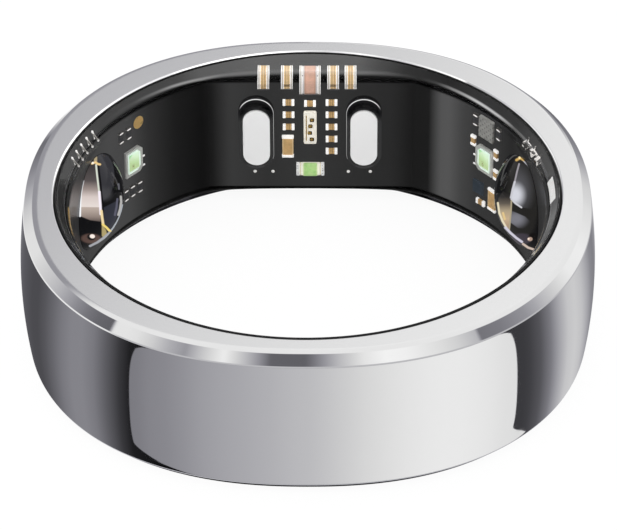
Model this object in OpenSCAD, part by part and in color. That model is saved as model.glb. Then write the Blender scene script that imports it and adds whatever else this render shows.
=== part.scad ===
// Smart ring: a squared metal shell, a black core that carries the electronics, and a clear
// moulded liner against the finger. All sizes are in millimetres.
// The origin is the centre of the lower rim, +Z runs along the finger, and +Y points at the flat
// of the liner, where the two contact pads are.

/* [Ring] */
// Height of the ring along the finger
ring_h = 7.1; // [6.4:0.1:8]
// Width of the shell across its four sides
ring_w = 25; // [22:0.5:27]
// How much wider the shell is across its four rounded corners
corner_extra = 1; // [0.7:0.1:1.4]

/* [Shell] */
// How far the wall swells outward at mid-height
crown = 0.23; // [0.1:0.01:0.35]
// Width of the bevel at each rim, seen from above
bevel_w = 0.47; // [0.2:0.01:0.5]
// Height of the bevel at each rim
bevel_h = 0.47; // [0.2:0.01:0.6]
// Distance from the side of the shell in to the edge of each lip
lip_w = 1.53; // [1.5:0.01:1.56]
// Thickness of each lip
lip_t = 0.5; // [0.4:0.01:0.55]
// Thickness of the shell's wall between the lips, at the middle of a side
wall_t = 0.75; // [0.7:0.01:0.78]
// Chamfer on the inner edge of each lip
lip_chamfer = 0.06; // [0.02:0.01:0.1]

/* [Liner] */
// Thickness of the whole ring at its sides
side_t = 2.2; // [2.16:0.01:2.24]
// Thickness of the whole ring at the middle of the flat
flat_t = 3.3; // [3.2:0.05:3.4]
// Length of the flat
flat_w = 7.4; // [7:0.1:7.6]
// Height of each sloped rim of the liner
rim_h = 0.68; // [0.55:0.01:0.75]
// Part of the rim's width that rounds into the inner face
crest_share = 0.25; // [0.15:0.05:0.4]
// Depth of clear resin over the board
cover = 0.3; // [0.28:0.01:0.34]
// Step from the shell's rim down to the liner's edge
rim_step = 0.05; // [0.02:0.01:0.08]
// Width of the flat land at the liner's edge
rim_land = 0.05; // [0.03:0.01:0.08]

/* [Core] */
// Thickness of the black collar inside each lip
collar_t = 0.08; // [0.05:0.01:0.1]
// Step from the shell's rim down to the collar
collar_step = 0.03; // [0.01:0.01:0.06]
// Glue line and clearance between neighbouring pieces
fit = 0.02; // [0.01:0.005:0.03]

/* [Board] */
// Thickness of the flexible board
board_t = 0.12; // [0.08:0.01:0.16]
// Distance from each rim of the ring to the board's edge
board_margin = 0.75; // [0.7:0.01:0.85]
// How far round the board reaches on each side of the flat, in degrees
board_turn = 116; // [108:1:117]

/* [Battery] */
// Thickness of the curved cell
battery_t = 0.96; // [0.8:0.01:0.98]
// Distance from each rim of the ring to the curved cell
battery_margin = 0.95; // [0.9:0.05:1.3]
// How far the cell reaches on each side of its middle, in degrees
battery_turn = 60; // [50:1:61]
// Corner radius of the cell's section
battery_corner = 0.2; // [0.1:0.02:0.3]
// Width of each battery tab
tab_w = 0.9; // [0.5:0.1:1.2]
// Thickness of each battery tab
tab_t = 0.08; // [0.05:0.01:0.1]
// Length of each battery tab round the ring, in degrees
tab_turn = 7; // [5:1:9]

/* [Contact pads] */
// Width of a contact pad
pad_w = 1.22; // [1.1:0.02:1.3]
// Height of a contact pad
pad_h = 2.96; // [2.8:0.02:3.06]
// Distance from the middle of the flat to each pad
pad_x = 2.45; // [2.4:0.01:2.5]
// How far a pad stands proud of the liner
pad_proud = 0.05; // [0.03:0.01:0.08]
// Width of the bezel beside a pad
bezel_w = 0.2; // [0.14:0.01:0.22]
// Extra height of the bezel above a pad
bezel_rise = 0.5; // [0.2:0.02:0.54]
// How far the bezel stands proud of the liner
bezel_proud = 0.03; // [0.01:0.01:0.05]

/* [Lens domes] */
// Radius of a dome's foot on the liner
dome_foot = 2.26; // [2.05:0.01:2.28]
// How far a dome rises from the liner
dome_rise = 1.15; // [0.8:0.01:1.2]
// Height of a dome's centre over the ring's mid-height
dome_lift = 0.1; // [0:0.01:0.15]
// Distance round the inner face from the middle of the flat to each dome
dome_reach = 12.18; // [12.1:0.02:12.4]
// Width of the light sensor under a dome
diode_w = 1.5; // [1:0.1:1.6]
// Height of the light sensor under a dome
diode_h = 2.2; // [1.8:0.1:2.3]
// Thickness of the light sensor
diode_t = 0.12; // [0.08:0.01:0.14]
// Thickness of a bond wire
wire_d = 0.05; // [0.03:0.01:0.06]

/* [Green emitters] */
// Width of an emitter package
emitter_w = 1.1; // [1:0.01:1.14]
// Height of an emitter package
emitter_h = 1.36; // [1.25:0.01:1.45]
// Thickness of an emitter package
emitter_t = 0.26; // [0.22:0.01:0.27]
// Wall of an emitter package round its window
emitter_wall = 0.14; // [0.1:0.01:0.2]
// Depth of an emitter's window
window_t = 0.16; // [0.1:0.01:0.18]
// Corner cut of an emitter package
emitter_cut = 0.2; // [0.1:0.01:0.3]
// Length of an emitter's lead
lead_l = 0.22; // [0.16:0.01:0.24]
// Thickness of an emitter's lead
lead_t = 0.07; // [0.05:0.01:0.09]

/* [Small parts] */
// Length of a small capacitor
cap_l = 0.53; // [0.48:0.01:0.56]
// Height of a small capacitor
cap_h = 0.28; // [0.24:0.01:0.32]
// Thickness of a small capacitor or resistor
cap_t = 0.25; // [0.2:0.01:0.27]
// Length of the metal end of a small part
end_l = 0.13; // [0.1:0.01:0.16]
// How far a metal end stands round its body
end_wrap = 0.015; // [0.005:0.005:0.02]
// Pitch of the capacitors in a column
column_pitch = 0.66; // [0.6:0.01:0.68]
// Length of a resistor
resistor_l = 0.6; // [0.5:0.01:0.62]
// Width of a resistor
resistor_w = 0.3; // [0.24:0.01:0.32]
// Length of a bulk capacitor
bulk_l = 1.16; // [1:0.01:1.2]
// Width of a bulk capacitor
bulk_w = 0.54; // [0.45:0.01:0.56]
// Width of a capacitor at the rim
rim_cap_w = 0.53; // [0.45:0.01:0.56]
// Depth of a capacitor at the rim
rim_cap_l = 0.42; // [0.3:0.01:0.42]
// Height of a capacitor at the rim
rim_cap_h = 0.64; // [0.56:0.01:0.7]
// Width of the coil part at the rim
rim_coil_w = 0.96; // [0.8:0.01:1]
// Depth of the coil part at the rim
rim_coil_l = 0.42; // [0.3:0.01:0.42]
// Height of the coil part at the rim
rim_coil_h = 0.92; // [0.84:0.01:1]

/* [Lamp and strip] */
// Width of the green lamp's body
lamp_w = 0.98; // [0.8:0.01:1]
// Height of the green lamp's body
lamp_h = 0.7; // [0.5:0.01:0.72]
// Width of the lamp's green window
lamp_window_w = 0.66; // [0.5:0.01:0.7]
// Length of each metal end of the lamp
lamp_end = 0.15; // [0.1:0.01:0.18]
// Width of the contact strip
strip_w = 0.59; // [0.5:0.01:0.62]
// Height of the contact strip
strip_h = 1.75; // [1.6:0.01:1.79]
// Diameter of a gold contact on the strip
contact_d = 0.2; // [0.12:0.01:0.24]

/* [Chips] */
// Width of the radio chip's metal can
radio_w = 0.94; // [0.8:0.01:0.96]
// Height of the radio chip's metal can
radio_h = 1.04; // [0.9:0.01:1.1]
// Size of the square motion chip
motion_w = 0.64; // [0.6:0.01:0.74]
// Size of the square processor behind the board
processor_w = 2.6; // [2:0.1:2.8]
// Size of the square power chip behind the board
power_w = 1.7; // [1.4:0.1:1.8]
// Thickness of the chips behind the board
rear_chip_t = 0.5; // [0.3:0.05:0.6]
// Diameter of the gold test pad
test_pad_d = 0.62; // [0.5:0.02:0.66]
// Thickness of gold and foil on the board
foil_t = 0.03; // [0.02:0.005:0.04]
// Diameter of a solder dot
dot_d = 0.15; // [0.1:0.01:0.2]

/* [Hidden] */
$fn = 128;
overrun = 0.5;                          // how far every cut runs past what it cuts
mid_z = ring_h / 2;
lip_r = ring_w / 2 - lip_w;
groove_r = ring_w / 2 - wall_t;
bore_r = ring_w / 2 - side_t;
flat_y = ring_w / 2 - flat_t;
flat_x = flat_w / 2;

// The shell's outline is a superellipse whose exponent follows from its two widths
outline_power = 1 / (1 / 2 - ln(1 + corner_extra / ring_w) / ln(2));
outline_steps = 120;
crown_steps = 8;
crown_h = ring_h - 2 * bevel_h;
crown_r = (pow(crown_h / 2, 2) + pow(crown, 2)) / (2 * crown);

// The inner face is a circle with a flat, joined by two blend arcs
blend_r = (pow(bore_r, 2) - pow(flat_y, 2) - pow(flat_x, 2)) / (2 * (bore_r - flat_y));
blend_y = flat_y - blend_r;
blend_turn = atan2(flat_x, blend_y);
flat_steps = 6;
blend_steps = 6;
arc_steps = 66;
crest_steps = 3;

// Radial places, outward from the inner face
core_front = cover + fit;
board_back = core_front + board_t;
liner_r = lip_r - collar_t - 2 * fit;
land_r = liner_r - rim_land;
board_r = bore_r + core_front;
battery_r = groove_r - fit - fit;
dome_r = (pow(dome_foot, 2) + pow(dome_rise, 2)) / (2 * dome_rise);
dome_y = bore_r - dome_rise + dome_r;
dome_turn = dome_reach / bore_r * 180 / PI;
battery_h = ring_h - 2 * battery_margin;
foil_gap = fit / 4;
slope_run = land_r - bore_r;
slope_rise = rim_h - rim_step;
prong_d = lead_t;
gap_turn = atan2(2 * fit, board_r);

// Places along the ring's height
face_z = [rim_h, ring_h - rim_h];
board_z = [board_margin, ring_h - board_margin];
core_z = [board_z[0] - fit, board_z[1] + fit];
dome_z = mid_z + dome_lift;

// Places on the flat: share of the flat's length, share of the ring's height
column_x_share = 0.132;
column_top_share = 0.759;
left_column_count = 3;
right_column_count = 5;
centre_cap_share = 0.752;
bulk_shares = [-0.138, 0.424];
strip_share = 0.569;
lamp_share = 0.248;
dot_x_shares = [-0.343, -0.232, 0.236, 0.372];
dot_z_share = 0.222;
rim_cap_shares = [-0.286, -0.142, 0.142, 0.249];
rim_part_rise_share = 0.4;              // of the slope's rise
rim_part_front_share = 2.5;             // of the liner's cover
rim_part_z = face_z[1] + rim_part_rise_share * (rim_h - rim_step);
rear_chip_shares = [-0.3, 0.27];

// Places on the contact strip: shares of its own width and height
contact_shares = [[0.15, 0.25], [0.02, 0.06], [-0.02, -0.15], [0.13, -0.35]];
strip_rail_shares = [-0.33, 0.08, 0.8];
lead_shares = [-0.05, -0.41];
wire_shares = [[-0.3, 1], [0, 1], [0.3, 1], [-0.2, -1], [0.2, -1]];

// Places round the ring: share of the way from the flat's middle to a dome, share of the height
left_emitter_shares = [-0.736, 0.555];
right_emitter_shares = [0.729, 0.565];
resistor_shares = [[-0.8, 0.789], [-0.757, 0.784], [-0.784, 0.334], [-0.747, 0.336],
    [-0.708, 0.335], [0.679, 0.826], [0.806, 0.825]];
side_cap_shares = [[0.668, 0.663], [0.792, 0.658], [0.793, 0.508]];
small_side_cap_shares = [0.713, 0.224];
side_bulk_shares = [0.776, 0.297];
radio_shares = [0.736, 0.8];
motion_shares = [0.7, 0.329];
test_pad_shares = [-0.699, 0.814];
prong_turn_shares = [-0.94, -0.984, -1.028, -1.072, -1.116];
clip_turn_shares = [0.975, 1.03, 1.085];
foil_turn_shares = [1.225, 1.358];
trace_turn_shares = [-1.535, -1.358];

// Places under the sloped rim: shares of the slope's run and rise, from the crest
prong_shares = [[0.3, 0.03], [0.85, 0.58]];
clip_shares = [0.28, 0.9, 0.22];
peg_shares = [0.75, 0.68];
foil_shares = [[0.68, 0.96], [0.3, 0.62]];
trace_z_shares = [0.835, 0.87];

// A clip's width over its depth, and the rail's bottom and top over the clip's height
clip_w_share = 1.4;
rail_shares = [0.25, 0.7];

// A point at a distance from a centre, at an angle clockwise from +Y
function around(turn, r, centre = [0, 0]) = centre + r * [sin(turn), cos(turn)];

// The inner face's outline: the flat, a blend, the long arc, and the other blend
track = concat(
    [for (i = [0 : flat_steps - 1]) [flat_w * i / flat_steps - flat_x, flat_y]],
    [for (i = [0 : blend_steps - 1])
        around(blend_turn * i / blend_steps, blend_r, [flat_x, blend_y])],
    [for (i = [0 : arc_steps])
        around(blend_turn + (360 - 2 * blend_turn) * i / arc_steps, bore_r)],
    [for (i = [1 : blend_steps - 1])
        around(blend_turn * i / blend_steps - blend_turn, blend_r, [-flat_x, blend_y])]);

// One ring of the bore: the inner face's outline carried a part of the way to the land's circle
function bore_ring(part, z) = [for (p = track)
    let (q = around(atan2(p[0], p[1]), land_r), r = p + part * (q - p)) [r[0], r[1], z]];

// The rim's section: [part of the way out, height over the start of the slope], rounded below
function rim_curve(h) = concat(
    [for (i = [0 : crest_steps])
        let (s = i / crest_steps) [crest_share * s * s, crest_share * h * (s * s - pow(1 - s, 2))]],
    [[1, h]]);

// One ring of the shell's outside, set in from the widest outline
function shell_ring(inset, z) = [for (i = [0 : outline_steps - 1])
    let (turn = 360 * i / outline_steps,
         sum = pow(abs(sin(turn)), outline_power) + pow(abs(cos(turn)), outline_power),
         p = around(turn, ring_w / 2 / pow(sum, 1 / outline_power) - inset)) [p[0], p[1], z]];

// Where a flat-backed part of a given width rests on the curved board
function seat(w) = sqrt(pow(board_r, 2) - pow(w / 2, 2));

// A closed solid from rings of points, listed upward, each ring clockwise from above
module lofted(rings) {
    n = len(rings[0]);
    last = len(rings) - 1;
    polyhedron(
        points = [for (ring = rings) each ring],
        faces = concat(
            [[for (i = [n - 1 : -1 : 0]) i]],
            [[for (i = [0 : n - 1]) last * n + i]],
            [for (j = [0 : last - 1]) for (i = [0 : n - 1]) let (k = (i + 1) % n)
                each [[j * n + i, j * n + k, (j + 1) * n + k],
                      [j * n + i, (j + 1) * n + k, (j + 1) * n + i]]]));
}

// A flat-topped ring between two radii
module ring_band(r_in, r_out, z0, z1) {
    translate([0, 0, z0])
    linear_extrude(z1 - z0)
    difference() {
        circle(r_out);
        circle(r_in);
    }
}

// An arc of rectangular section from one turn to another, clockwise from +Y
module arc_band(r_in, r_out, z0, z1, from, to, centre = [0, 0]) {
    translate([centre[0], centre[1], 0])
    rotate([0, 0, 90 - to])
    rotate_extrude(angle = to - from)
    translate([r_in, z0])
    square([r_out - r_in, z1 - z0]);
}

// The inner face moved outward: a disc cut along the flat, with plain corners
module outline(out) {
    intersection() {
        circle(bore_r + out);
        translate([-ring_w, -ring_w])
        square([2 * ring_w, ring_w + flat_y + out]);
    }
}

// A band that follows the inner face as far as a turn on each side of the flat
module outline_band(out_in, out_out, z0, z1, reach) {
    translate([0, 0, z0])
    linear_extrude(z1 - z0)
    difference() {
        outline(out_out);
        outline(out_in);
        polygon([[0, 0], around(reach, 2 * ring_w), around(180, 2 * ring_w),
            around(-reach, 2 * ring_w)]);
    }
}

// Moves a part to a place on the flat; the part's +Y then points away from the finger
module on_flat(x, z, y = core_front) {
    translate([x, flat_y + y, z])
    children();
}

// Moves a part of a given width to a place round the ring, resting on the curved board
module on_arc(share, z, w) {
    rotate([0, 0, -share * dome_turn])
    translate([0, seat(w), z])
    children();
}

// A block whose back is on the board, centred in width and height
module block(w, t, h) {
    translate([-w / 2, -t, -h / 2])
    cube([w, t, h]);
}

// The pocket that a block leaves in the liner or the core
module pocket(w, t, h, behind = fit) {
    translate([-w / 2 - fit, -t - fit, -h / 2 - fit])
    cube([w + 2 * fit, t + fit + behind, h + 2 * fit]);
}

// A stadium standing on the board, from its back to its front
module stadium(w, h, front, back, z_shift = 0) {
    translate([0, back, z_shift])
    rotate([90, 0, 0])
    linear_extrude(back - front)
    for (side = [0, 1])
        mirror([0, side, 0])
        union() {
            translate([0, (h - w) / 2])
            circle(w / 2);
            translate([-w / 2, 0])
            square([w, (h - w) / 2]);
        }
}

// The body of a two-ended part that lies along X
module part_body(l, t, h) {
    block(l - 2 * end_l, t - end_wrap, h - 2 * end_wrap);
}

// The two metal ends of a part that lies along X
module part_ends(l, t, h) {
    for (side = [-1, 1])
        translate([side * (l - end_l) / 2, 0, 0])
        block(end_l, t, h);
}

// Every small capacitor's place; the last three stand upright
module each_small_capacitor() {
    for (i = [0 : left_column_count - 1])
        on_flat(-column_x_share * flat_w, column_top_share * ring_h - i * column_pitch)
        children();
    for (i = [0 : right_column_count - 1])
        on_flat(column_x_share * flat_w, column_top_share * ring_h - i * column_pitch)
        children();
    on_flat(0, centre_cap_share * ring_h)
    children();
    on_arc(small_side_cap_shares[0], small_side_cap_shares[1] * ring_h, cap_l)
    children();
    for (p = side_cap_shares)
        on_arc(p[0], p[1] * ring_h, cap_h)
        rotate([0, 90, 0])
        children();
}

// Every resistor's place; they all stand upright
module each_resistor() {
    for (p = resistor_shares)
        on_arc(p[0], p[1] * ring_h, resistor_w)
        rotate([0, 90, 0])
        children();
}

// Both bulk capacitors' places
module each_bulk_capacitor() {
    on_flat(bulk_shares[0] * flat_w, bulk_shares[1] * ring_h)
    rotate([0, 90, 0])
    children();
    on_arc(side_bulk_shares[0], side_bulk_shares[1] * ring_h, bulk_w)
    rotate([0, 90, 0])
    children();
}

// The parts at the rim stand behind slots in the board and the core, just under the slope
module each_rim_capacitor() {
    for (x = rim_cap_shares)
        at_rim(x * flat_w, rim_cap_h)
        children();
}

module at_rim(x, h) {
    translate([x, flat_y + rim_part_front_share * cover, rim_part_z - h / 2])
    children();
}

// Every slot in front of a rim part, or the resin that fills it
module rim_slots(gap = 0) {
    each_rim_capacitor()
    block(rim_cap_w + 2 * gap, rim_part_front_share * cover + gap, rim_cap_h + 2 * gap);
    at_rim(0, rim_coil_h)
    block(rim_coil_w + 2 * gap, rim_part_front_share * cover + gap, rim_coil_h + 2 * gap);
}

// The pocket of every rim part
module rim_part_pockets() {
    each_rim_capacitor()
    translate([0, rim_cap_l, 0])
    pocket(rim_cap_w, rim_cap_l, rim_cap_h);
    at_rim(0, rim_coil_h)
    translate([0, rim_coil_l, 0])
    pocket(rim_coil_w, rim_coil_l, rim_coil_h);
}

// One side's place of an emitter: side is -1 for left and 1 for right
module at_emitter(side) {
    place = side < 0 ? left_emitter_shares : right_emitter_shares;
    on_arc(place[0], place[1] * ring_h, emitter_w)
    children();
}

// An emitter package seen from the finger, with the two corners cut on its leads' side
module emitter_outline(side, inset) {
    w = emitter_w / 2 - inset;
    h = emitter_h / 2 - inset;
    mirror([side > 0 ? 1 : 0, 0])
    polygon([[-w, -h], [w - emitter_cut, -h], [w, emitter_cut - h], [w, h - emitter_cut],
        [w - emitter_cut, h], [-w, h]]);
}

// A plate cut from an outline that faces the finger, between two depths in front of the board
module plate(front, back) {
    translate([0, -back, 0])
    rotate([90, 0, 0])
    linear_extrude(front - back)
    children();
}

// Moves a part to a dome's axis, with +Y pointing away from the finger
module at_dome(side) {
    rotate([0, 0, -side * dome_turn])
    translate([0, 0, dome_z])
    children();
}

// The cone that breaks the inner edge of a lip whose rim is at the origin, facing up
module lip_break() {
    rotate_extrude()
    polygon([[0, -lip_chamfer], [lip_r, -lip_chamfer],
        [lip_r + lip_chamfer + overrun, overrun], [0, overrun]]);
}

module outer_shell() {
    color("silver")
    difference() {
        lofted(concat(
            [shell_ring(crown + bevel_w, 0)],
            [for (i = [0 : crown_steps])
                let (z = crown_h * (i / crown_steps - 1 / 2))
                shell_ring(crown_r - sqrt(pow(crown_r, 2) - z * z), mid_z + z)],
            [shell_ring(crown + bevel_w, ring_h)]));
        translate([0, 0, -overrun])
        cylinder(r = lip_r, h = ring_h + 2 * overrun);
        ring_band(lip_r - overrun, groove_r, lip_t, ring_h - lip_t);
        translate([0, 0, ring_h])
        lip_break();
        mirror([0, 0, 1])
        lip_break();
    }
}

module core_ring() {
    color([0.06, 0.06, 0.07])
    difference() {
        union() {
            ring_band(liner_r + fit, lip_r - fit, collar_step, ring_h - collar_step);
            ring_band(liner_r + fit, groove_r - fit, lip_t + fit, ring_h - lip_t - fit);
            ring_band(flat_y, liner_r + 2 * fit, core_z[0], core_z[1]);
        }
        translate([0, 0, -overrun])
        linear_extrude(ring_h + 2 * overrun)
        outline(core_front);
        outline_band(core_front - overrun, board_back + fit, core_z[0], core_z[1],
            board_turn + gap_turn);
        arc_band(battery_r - battery_t - fit, battery_r + overrun, mid_z - battery_h / 2 - fit,
            mid_z + battery_h / 2 + fit, 180 - battery_turn - gap_turn,
            180 + battery_turn + gap_turn);
        each_tab(fit);
        rear_chip(rear_chip_shares[0], processor_w, fit);
        rear_chip(rear_chip_shares[1], power_w, fit);
        rim_slots(fit);
        rim_part_pockets();
    }
}

// The bore cut through the liner: straight by the finger, sloping out to the land at both rims
module liner_bore() {
    curve = rim_curve(rim_h - rim_step);
    last = len(curve) - 1;
    lofted(concat(
        [bore_ring(1, -overrun)],
        [for (i = [last : -1 : 0]) bore_ring(curve[i][0], face_z[0] - curve[i][1])],
        [for (c = curve) bore_ring(c[0], face_z[1] + c[1])],
        [bore_ring(1, ring_h + overrun)]));
}

module inner_liner() {
    color([0.2, 0.2, 0.22, 0.6])
    difference() {
        translate([0, 0, rim_step])
        cylinder(r = liner_r, h = ring_h - 2 * rim_step);
        liner_bore();
        difference() {
            translate([0, 0, core_z[0] - fit])
            linear_extrude(core_z[1] - core_z[0] + 2 * fit)
            difference() {
                circle(lip_r);
                outline(cover);
            }
            rim_slots();
        }
        for (side = [-1, 1]) {
            at_dome(side)
            translate([0, dome_y, 0])
            sphere(dome_r + fit);
            on_flat(side * pad_x, mid_z)
            bezel_outer(fit, overrun);
            at_emitter(side)
            pocket(emitter_w, emitter_t, emitter_h, overrun);
            each_lead(side)
            pocket(lead_l, lead_t, lead_t, overrun);
        }
        each_small_capacitor()
        pocket(cap_l, cap_t, cap_h, overrun);
        each_bulk_capacitor()
        pocket(bulk_l, cap_t, bulk_w, overrun);
        each_resistor()
        pocket(resistor_l, cap_t, resistor_w, overrun);
        rim_part_pockets();
        on_flat(0, lamp_share * ring_h)
        pocket(lamp_w + 2 * lamp_end, cap_t, lamp_h, overrun);
        on_flat(0, strip_share * ring_h)
        pocket(strip_w, cap_t, strip_h, overrun);
        on_arc(radio_shares[0], radio_shares[1] * ring_h, radio_w)
        pocket(radio_w, cap_t, radio_h, overrun);
        on_arc(motion_shares[0], motion_shares[1] * ring_h, motion_w)
        pocket(motion_w, cap_t, motion_w, overrun);
        for (share = prong_turn_shares)
            prong(share, fit);
        clip(fit);
        foil(fit);
        trace(fit);
        on_arc(test_pad_shares[0], test_pad_shares[1] * ring_h, test_pad_d)
        plate(foil_t + fit, -overrun)
        circle(test_pad_d / 2 + fit);
        each_dot()
        sphere(dot_d / 2 + fit, $fn = 48);
    }
}

module circuit_board() {
    color([0.09, 0.09, 0.1])
    difference() {
        outline_band(core_front, board_back, board_z[0], board_z[1], board_turn);
        rim_slots(fit);
    }
}

module battery_cell() {
    c = battery_corner;
    t = battery_t;
    h = battery_h;
    color([0.55, 0.56, 0.6])
    rotate([0, 0, 270 - battery_turn])
    rotate_extrude(angle = 2 * battery_turn)
    translate([battery_r - t, mid_z - h / 2])
    polygon([[c, 0], [t - c, 0], [t, c], [t, h - c], [t - c, h], [c, h], [0, h - c], [0, c]]);
}

// Both tabs lie on the back of the board and end at the face of the cell
module each_tab(gap = 0) {
    r = bore_r + board_back + fit;
    for (side = [-1, 1]) {
        z = mid_z + side * battery_h / 4;
        arc_band(r - gap, r + tab_t + gap, z - tab_w / 2 - gap, z + tab_w / 2 + gap,
            180 - battery_turn - tab_turn - (gap > 0 ? gap_turn : 0), 180 - battery_turn);
    }
}

module battery_tabs() {
    color("silver")
    each_tab();
}

// A square chip on the back of the board
module rear_chip(x_share, w, gap = 0) {
    translate([x_share * flat_w - w / 2 - gap, flat_y + board_back - gap, mid_z - w / 2 - gap])
    cube([w + 2 * gap, rear_chip_t + 2 * gap, w + 2 * gap]);
}

module processor_chip() {
    color([0.13, 0.13, 0.14])
    rear_chip(rear_chip_shares[0], processor_w);
}

module power_chip() {
    color([0.16, 0.16, 0.18])
    rear_chip(rear_chip_shares[1], power_w);
}

module contact_pad(side) {
    color([0.86, 0.86, 0.85])
    on_flat(side * pad_x, mid_z)
    stadium(pad_w, pad_h, -core_front - pad_proud, 0);
}

module contact_pad_left() { contact_pad(-1); }
module contact_pad_right() { contact_pad(1); }

// The outside of a bezel, higher above its pad than below it
module bezel_outer(gap = 0, past = 0) {
    stadium(pad_w + 2 * bezel_w + 2 * gap, pad_h + 2 * bezel_w + bezel_rise + 2 * gap,
        -core_front - bezel_proud - past, past, bezel_rise / 2);
}

module pad_bezel(side) {
    color([0.05, 0.05, 0.06])
    on_flat(side * pad_x, mid_z)
    difference() {
        bezel_outer();
        stadium(pad_w + 2 * fit, pad_h + 2 * fit, -core_front - overrun, overrun);
    }
}

module pad_bezel_left() { pad_bezel(-1); }
module pad_bezel_right() { pad_bezel(1); }

// A dome is a ball cut flat where its back meets the board's edge
module lens_dome(side) {
    base_y = seat(2 * dome_foot) - fit;
    color([0.35, 0.32, 0.3, 0.5])
    at_dome(side)
    intersection() {
        translate([0, dome_y, 0])
        sphere(dome_r);
        translate([-dome_r, base_y - 2 * dome_r, -dome_r])
        cube(2 * dome_r);
    }
}

module lens_dome_left() { lens_dome(-1); }
module lens_dome_right() { lens_dome(1); }

module at_sensor(side) {
    at_dome(side)
    translate([0, seat(diode_w), 0])
    children();
}

module light_sensor(side) {
    color([0.5, 0.4, 0.38])
    at_sensor(side)
    block(diode_w, diode_t, diode_h);
}

module light_sensor_left() { light_sensor(-1); }
module light_sensor_right() { light_sensor(1); }

// Each bond wire arches from the sensor's front, over its edge, to the board
module bond_wires(side) {
    arch_r = diode_t + wire_d / 2;
    color("gold")
    difference() {
        intersection() {
            at_sensor(side)
            for (p = wire_shares)
                translate([p[0] * diode_w, 0, p[1] * diode_h / 2])
                rotate([90, 0, 90])
                rotate_extrude($fn = 48)
                translate([arch_r, 0])
                circle(wire_d / 2, $fn = 24);
            translate([0, 0, -overrun])
            cylinder(r = board_r, h = ring_h + 2 * overrun);
        }
        at_sensor(side)
        translate([-diode_w / 2, -diode_t, -diode_h / 2])
        cube([diode_w, diode_t + overrun, diode_h]);
    }
}

module bond_wires_left() { bond_wires(-1); }
module bond_wires_right() { bond_wires(1); }

module emitter_body(side) {
    color([0.62, 0.63, 0.6])
    at_emitter(side)
    difference() {
        plate(emitter_t, 0)
        emitter_outline(side, 0);
        plate(emitter_t + overrun, emitter_t - window_t)
        emitter_outline(side, emitter_wall);
    }
}

module emitter_body_left() { emitter_body(-1); }
module emitter_body_right() { emitter_body(1); }

module emitter_window(side) {
    color([0.45, 0.85, 0.55])
    at_emitter(side)
    plate(emitter_t - fit, emitter_t - window_t)
    emitter_outline(side, emitter_wall);
}

module emitter_window_left() { emitter_window(-1); }
module emitter_window_right() { emitter_window(1); }

// The two leads of an emitter point toward the flat and touch the side of its package
module each_lead(side) {
    at_emitter(side)
    for (share = lead_shares)
        translate([-side * (emitter_w + lead_l) / 2, seat(emitter_w + 2 * lead_l) - seat(emitter_w),
            share * emitter_h])
        children();
}

module emitter_leads() {
    color("silver")
    for (side = [-1, 1])
        each_lead(side)
        block(lead_l, lead_t, lead_t);
}

module lamp_body() {
    color([0.9, 0.9, 0.86])
    on_flat(0, lamp_share * ring_h)
    difference() {
        block(lamp_w, cap_t, lamp_h);
        translate([-lamp_window_w / 2, -cap_t - overrun, -lamp_h / 2 - overrun])
        cube([lamp_window_w, cap_t / 2 + overrun, lamp_h + 2 * overrun]);
    }
}

module lamp_window() {
    color([0.6, 0.85, 0.5])
    on_flat(0, lamp_share * ring_h, core_front - cap_t / 2)
    block(lamp_window_w, cap_t / 2, lamp_h);
}

module lamp_ends() {
    color("silver")
    for (side = [-1, 1])
        on_flat(side * (lamp_w + lamp_end) / 2, lamp_share * ring_h)
        block(lamp_end, cap_t - fit, lamp_h - fit);
}

module contact_strip() {
    color([0.92, 0.9, 0.86])
    on_flat(0, strip_share * ring_h)
    block(strip_w, cap_t - foil_t, strip_h);
}

// Four round contacts and the rail beside them, on the front of the strip
module strip_contacts() {
    color("gold")
    on_flat(0, strip_share * ring_h)
    plate(cap_t, cap_t - foil_t) {
        for (p = contact_shares)
            translate([p[0] * strip_w, p[1] * strip_h])
            circle(contact_d / 2, $fn = 48);
        translate([strip_rail_shares[0] * strip_w, -strip_rail_shares[2] * strip_h / 2])
        square([strip_rail_shares[1] * strip_w, strip_rail_shares[2] * strip_h]);
    }
}

module small_capacitors() {
    color([0.72, 0.6, 0.42])
    each_small_capacitor()
    part_body(cap_l, cap_t, cap_h);
}

module small_capacitor_ends() {
    color("silver")
    each_small_capacitor()
    part_ends(cap_l, cap_t, cap_h);
}

module bulk_capacitors() {
    color([0.7, 0.58, 0.4])
    each_bulk_capacitor()
    part_body(bulk_l, cap_t, bulk_w);
}

module bulk_capacitor_ends() {
    color("silver")
    each_bulk_capacitor()
    part_ends(bulk_l, cap_t, bulk_w);
}

module rim_capacitors() {
    color([0.74, 0.62, 0.42])
    each_rim_capacitor()
    translate([0, rim_cap_l, 0])
    part_body(rim_cap_w, rim_cap_l, rim_cap_h);
}

module rim_capacitor_ends() {
    color("silver")
    each_rim_capacitor()
    translate([0, rim_cap_l, 0])
    part_ends(rim_cap_w, rim_cap_l, rim_cap_h);
}

module rim_coil() {
    color([0.78, 0.56, 0.48])
    at_rim(0, rim_coil_h)
    translate([0, rim_coil_l, 0])
    part_body(rim_coil_w, rim_coil_l, rim_coil_h);
}

module rim_coil_ends() {
    color("silver")
    at_rim(0, rim_coil_h)
    translate([0, rim_coil_l, 0])
    part_ends(rim_coil_w, rim_coil_l, rim_coil_h);
}

module resistors() {
    color([0.1, 0.1, 0.11])
    each_resistor()
    part_body(resistor_l, cap_t, resistor_w);
}

module resistor_ends() {
    color("silver")
    each_resistor()
    part_ends(resistor_l, cap_t, resistor_w);
}

module radio_chip() {
    color([0.66, 0.65, 0.62])
    on_arc(radio_shares[0], radio_shares[1] * ring_h, radio_w)
    block(radio_w, cap_t, radio_h);
}

module motion_chip() {
    color([0.2, 0.24, 0.3])
    on_arc(motion_shares[0], motion_shares[1] * ring_h, motion_w)
    block(motion_w, cap_t, motion_w);
}

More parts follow.
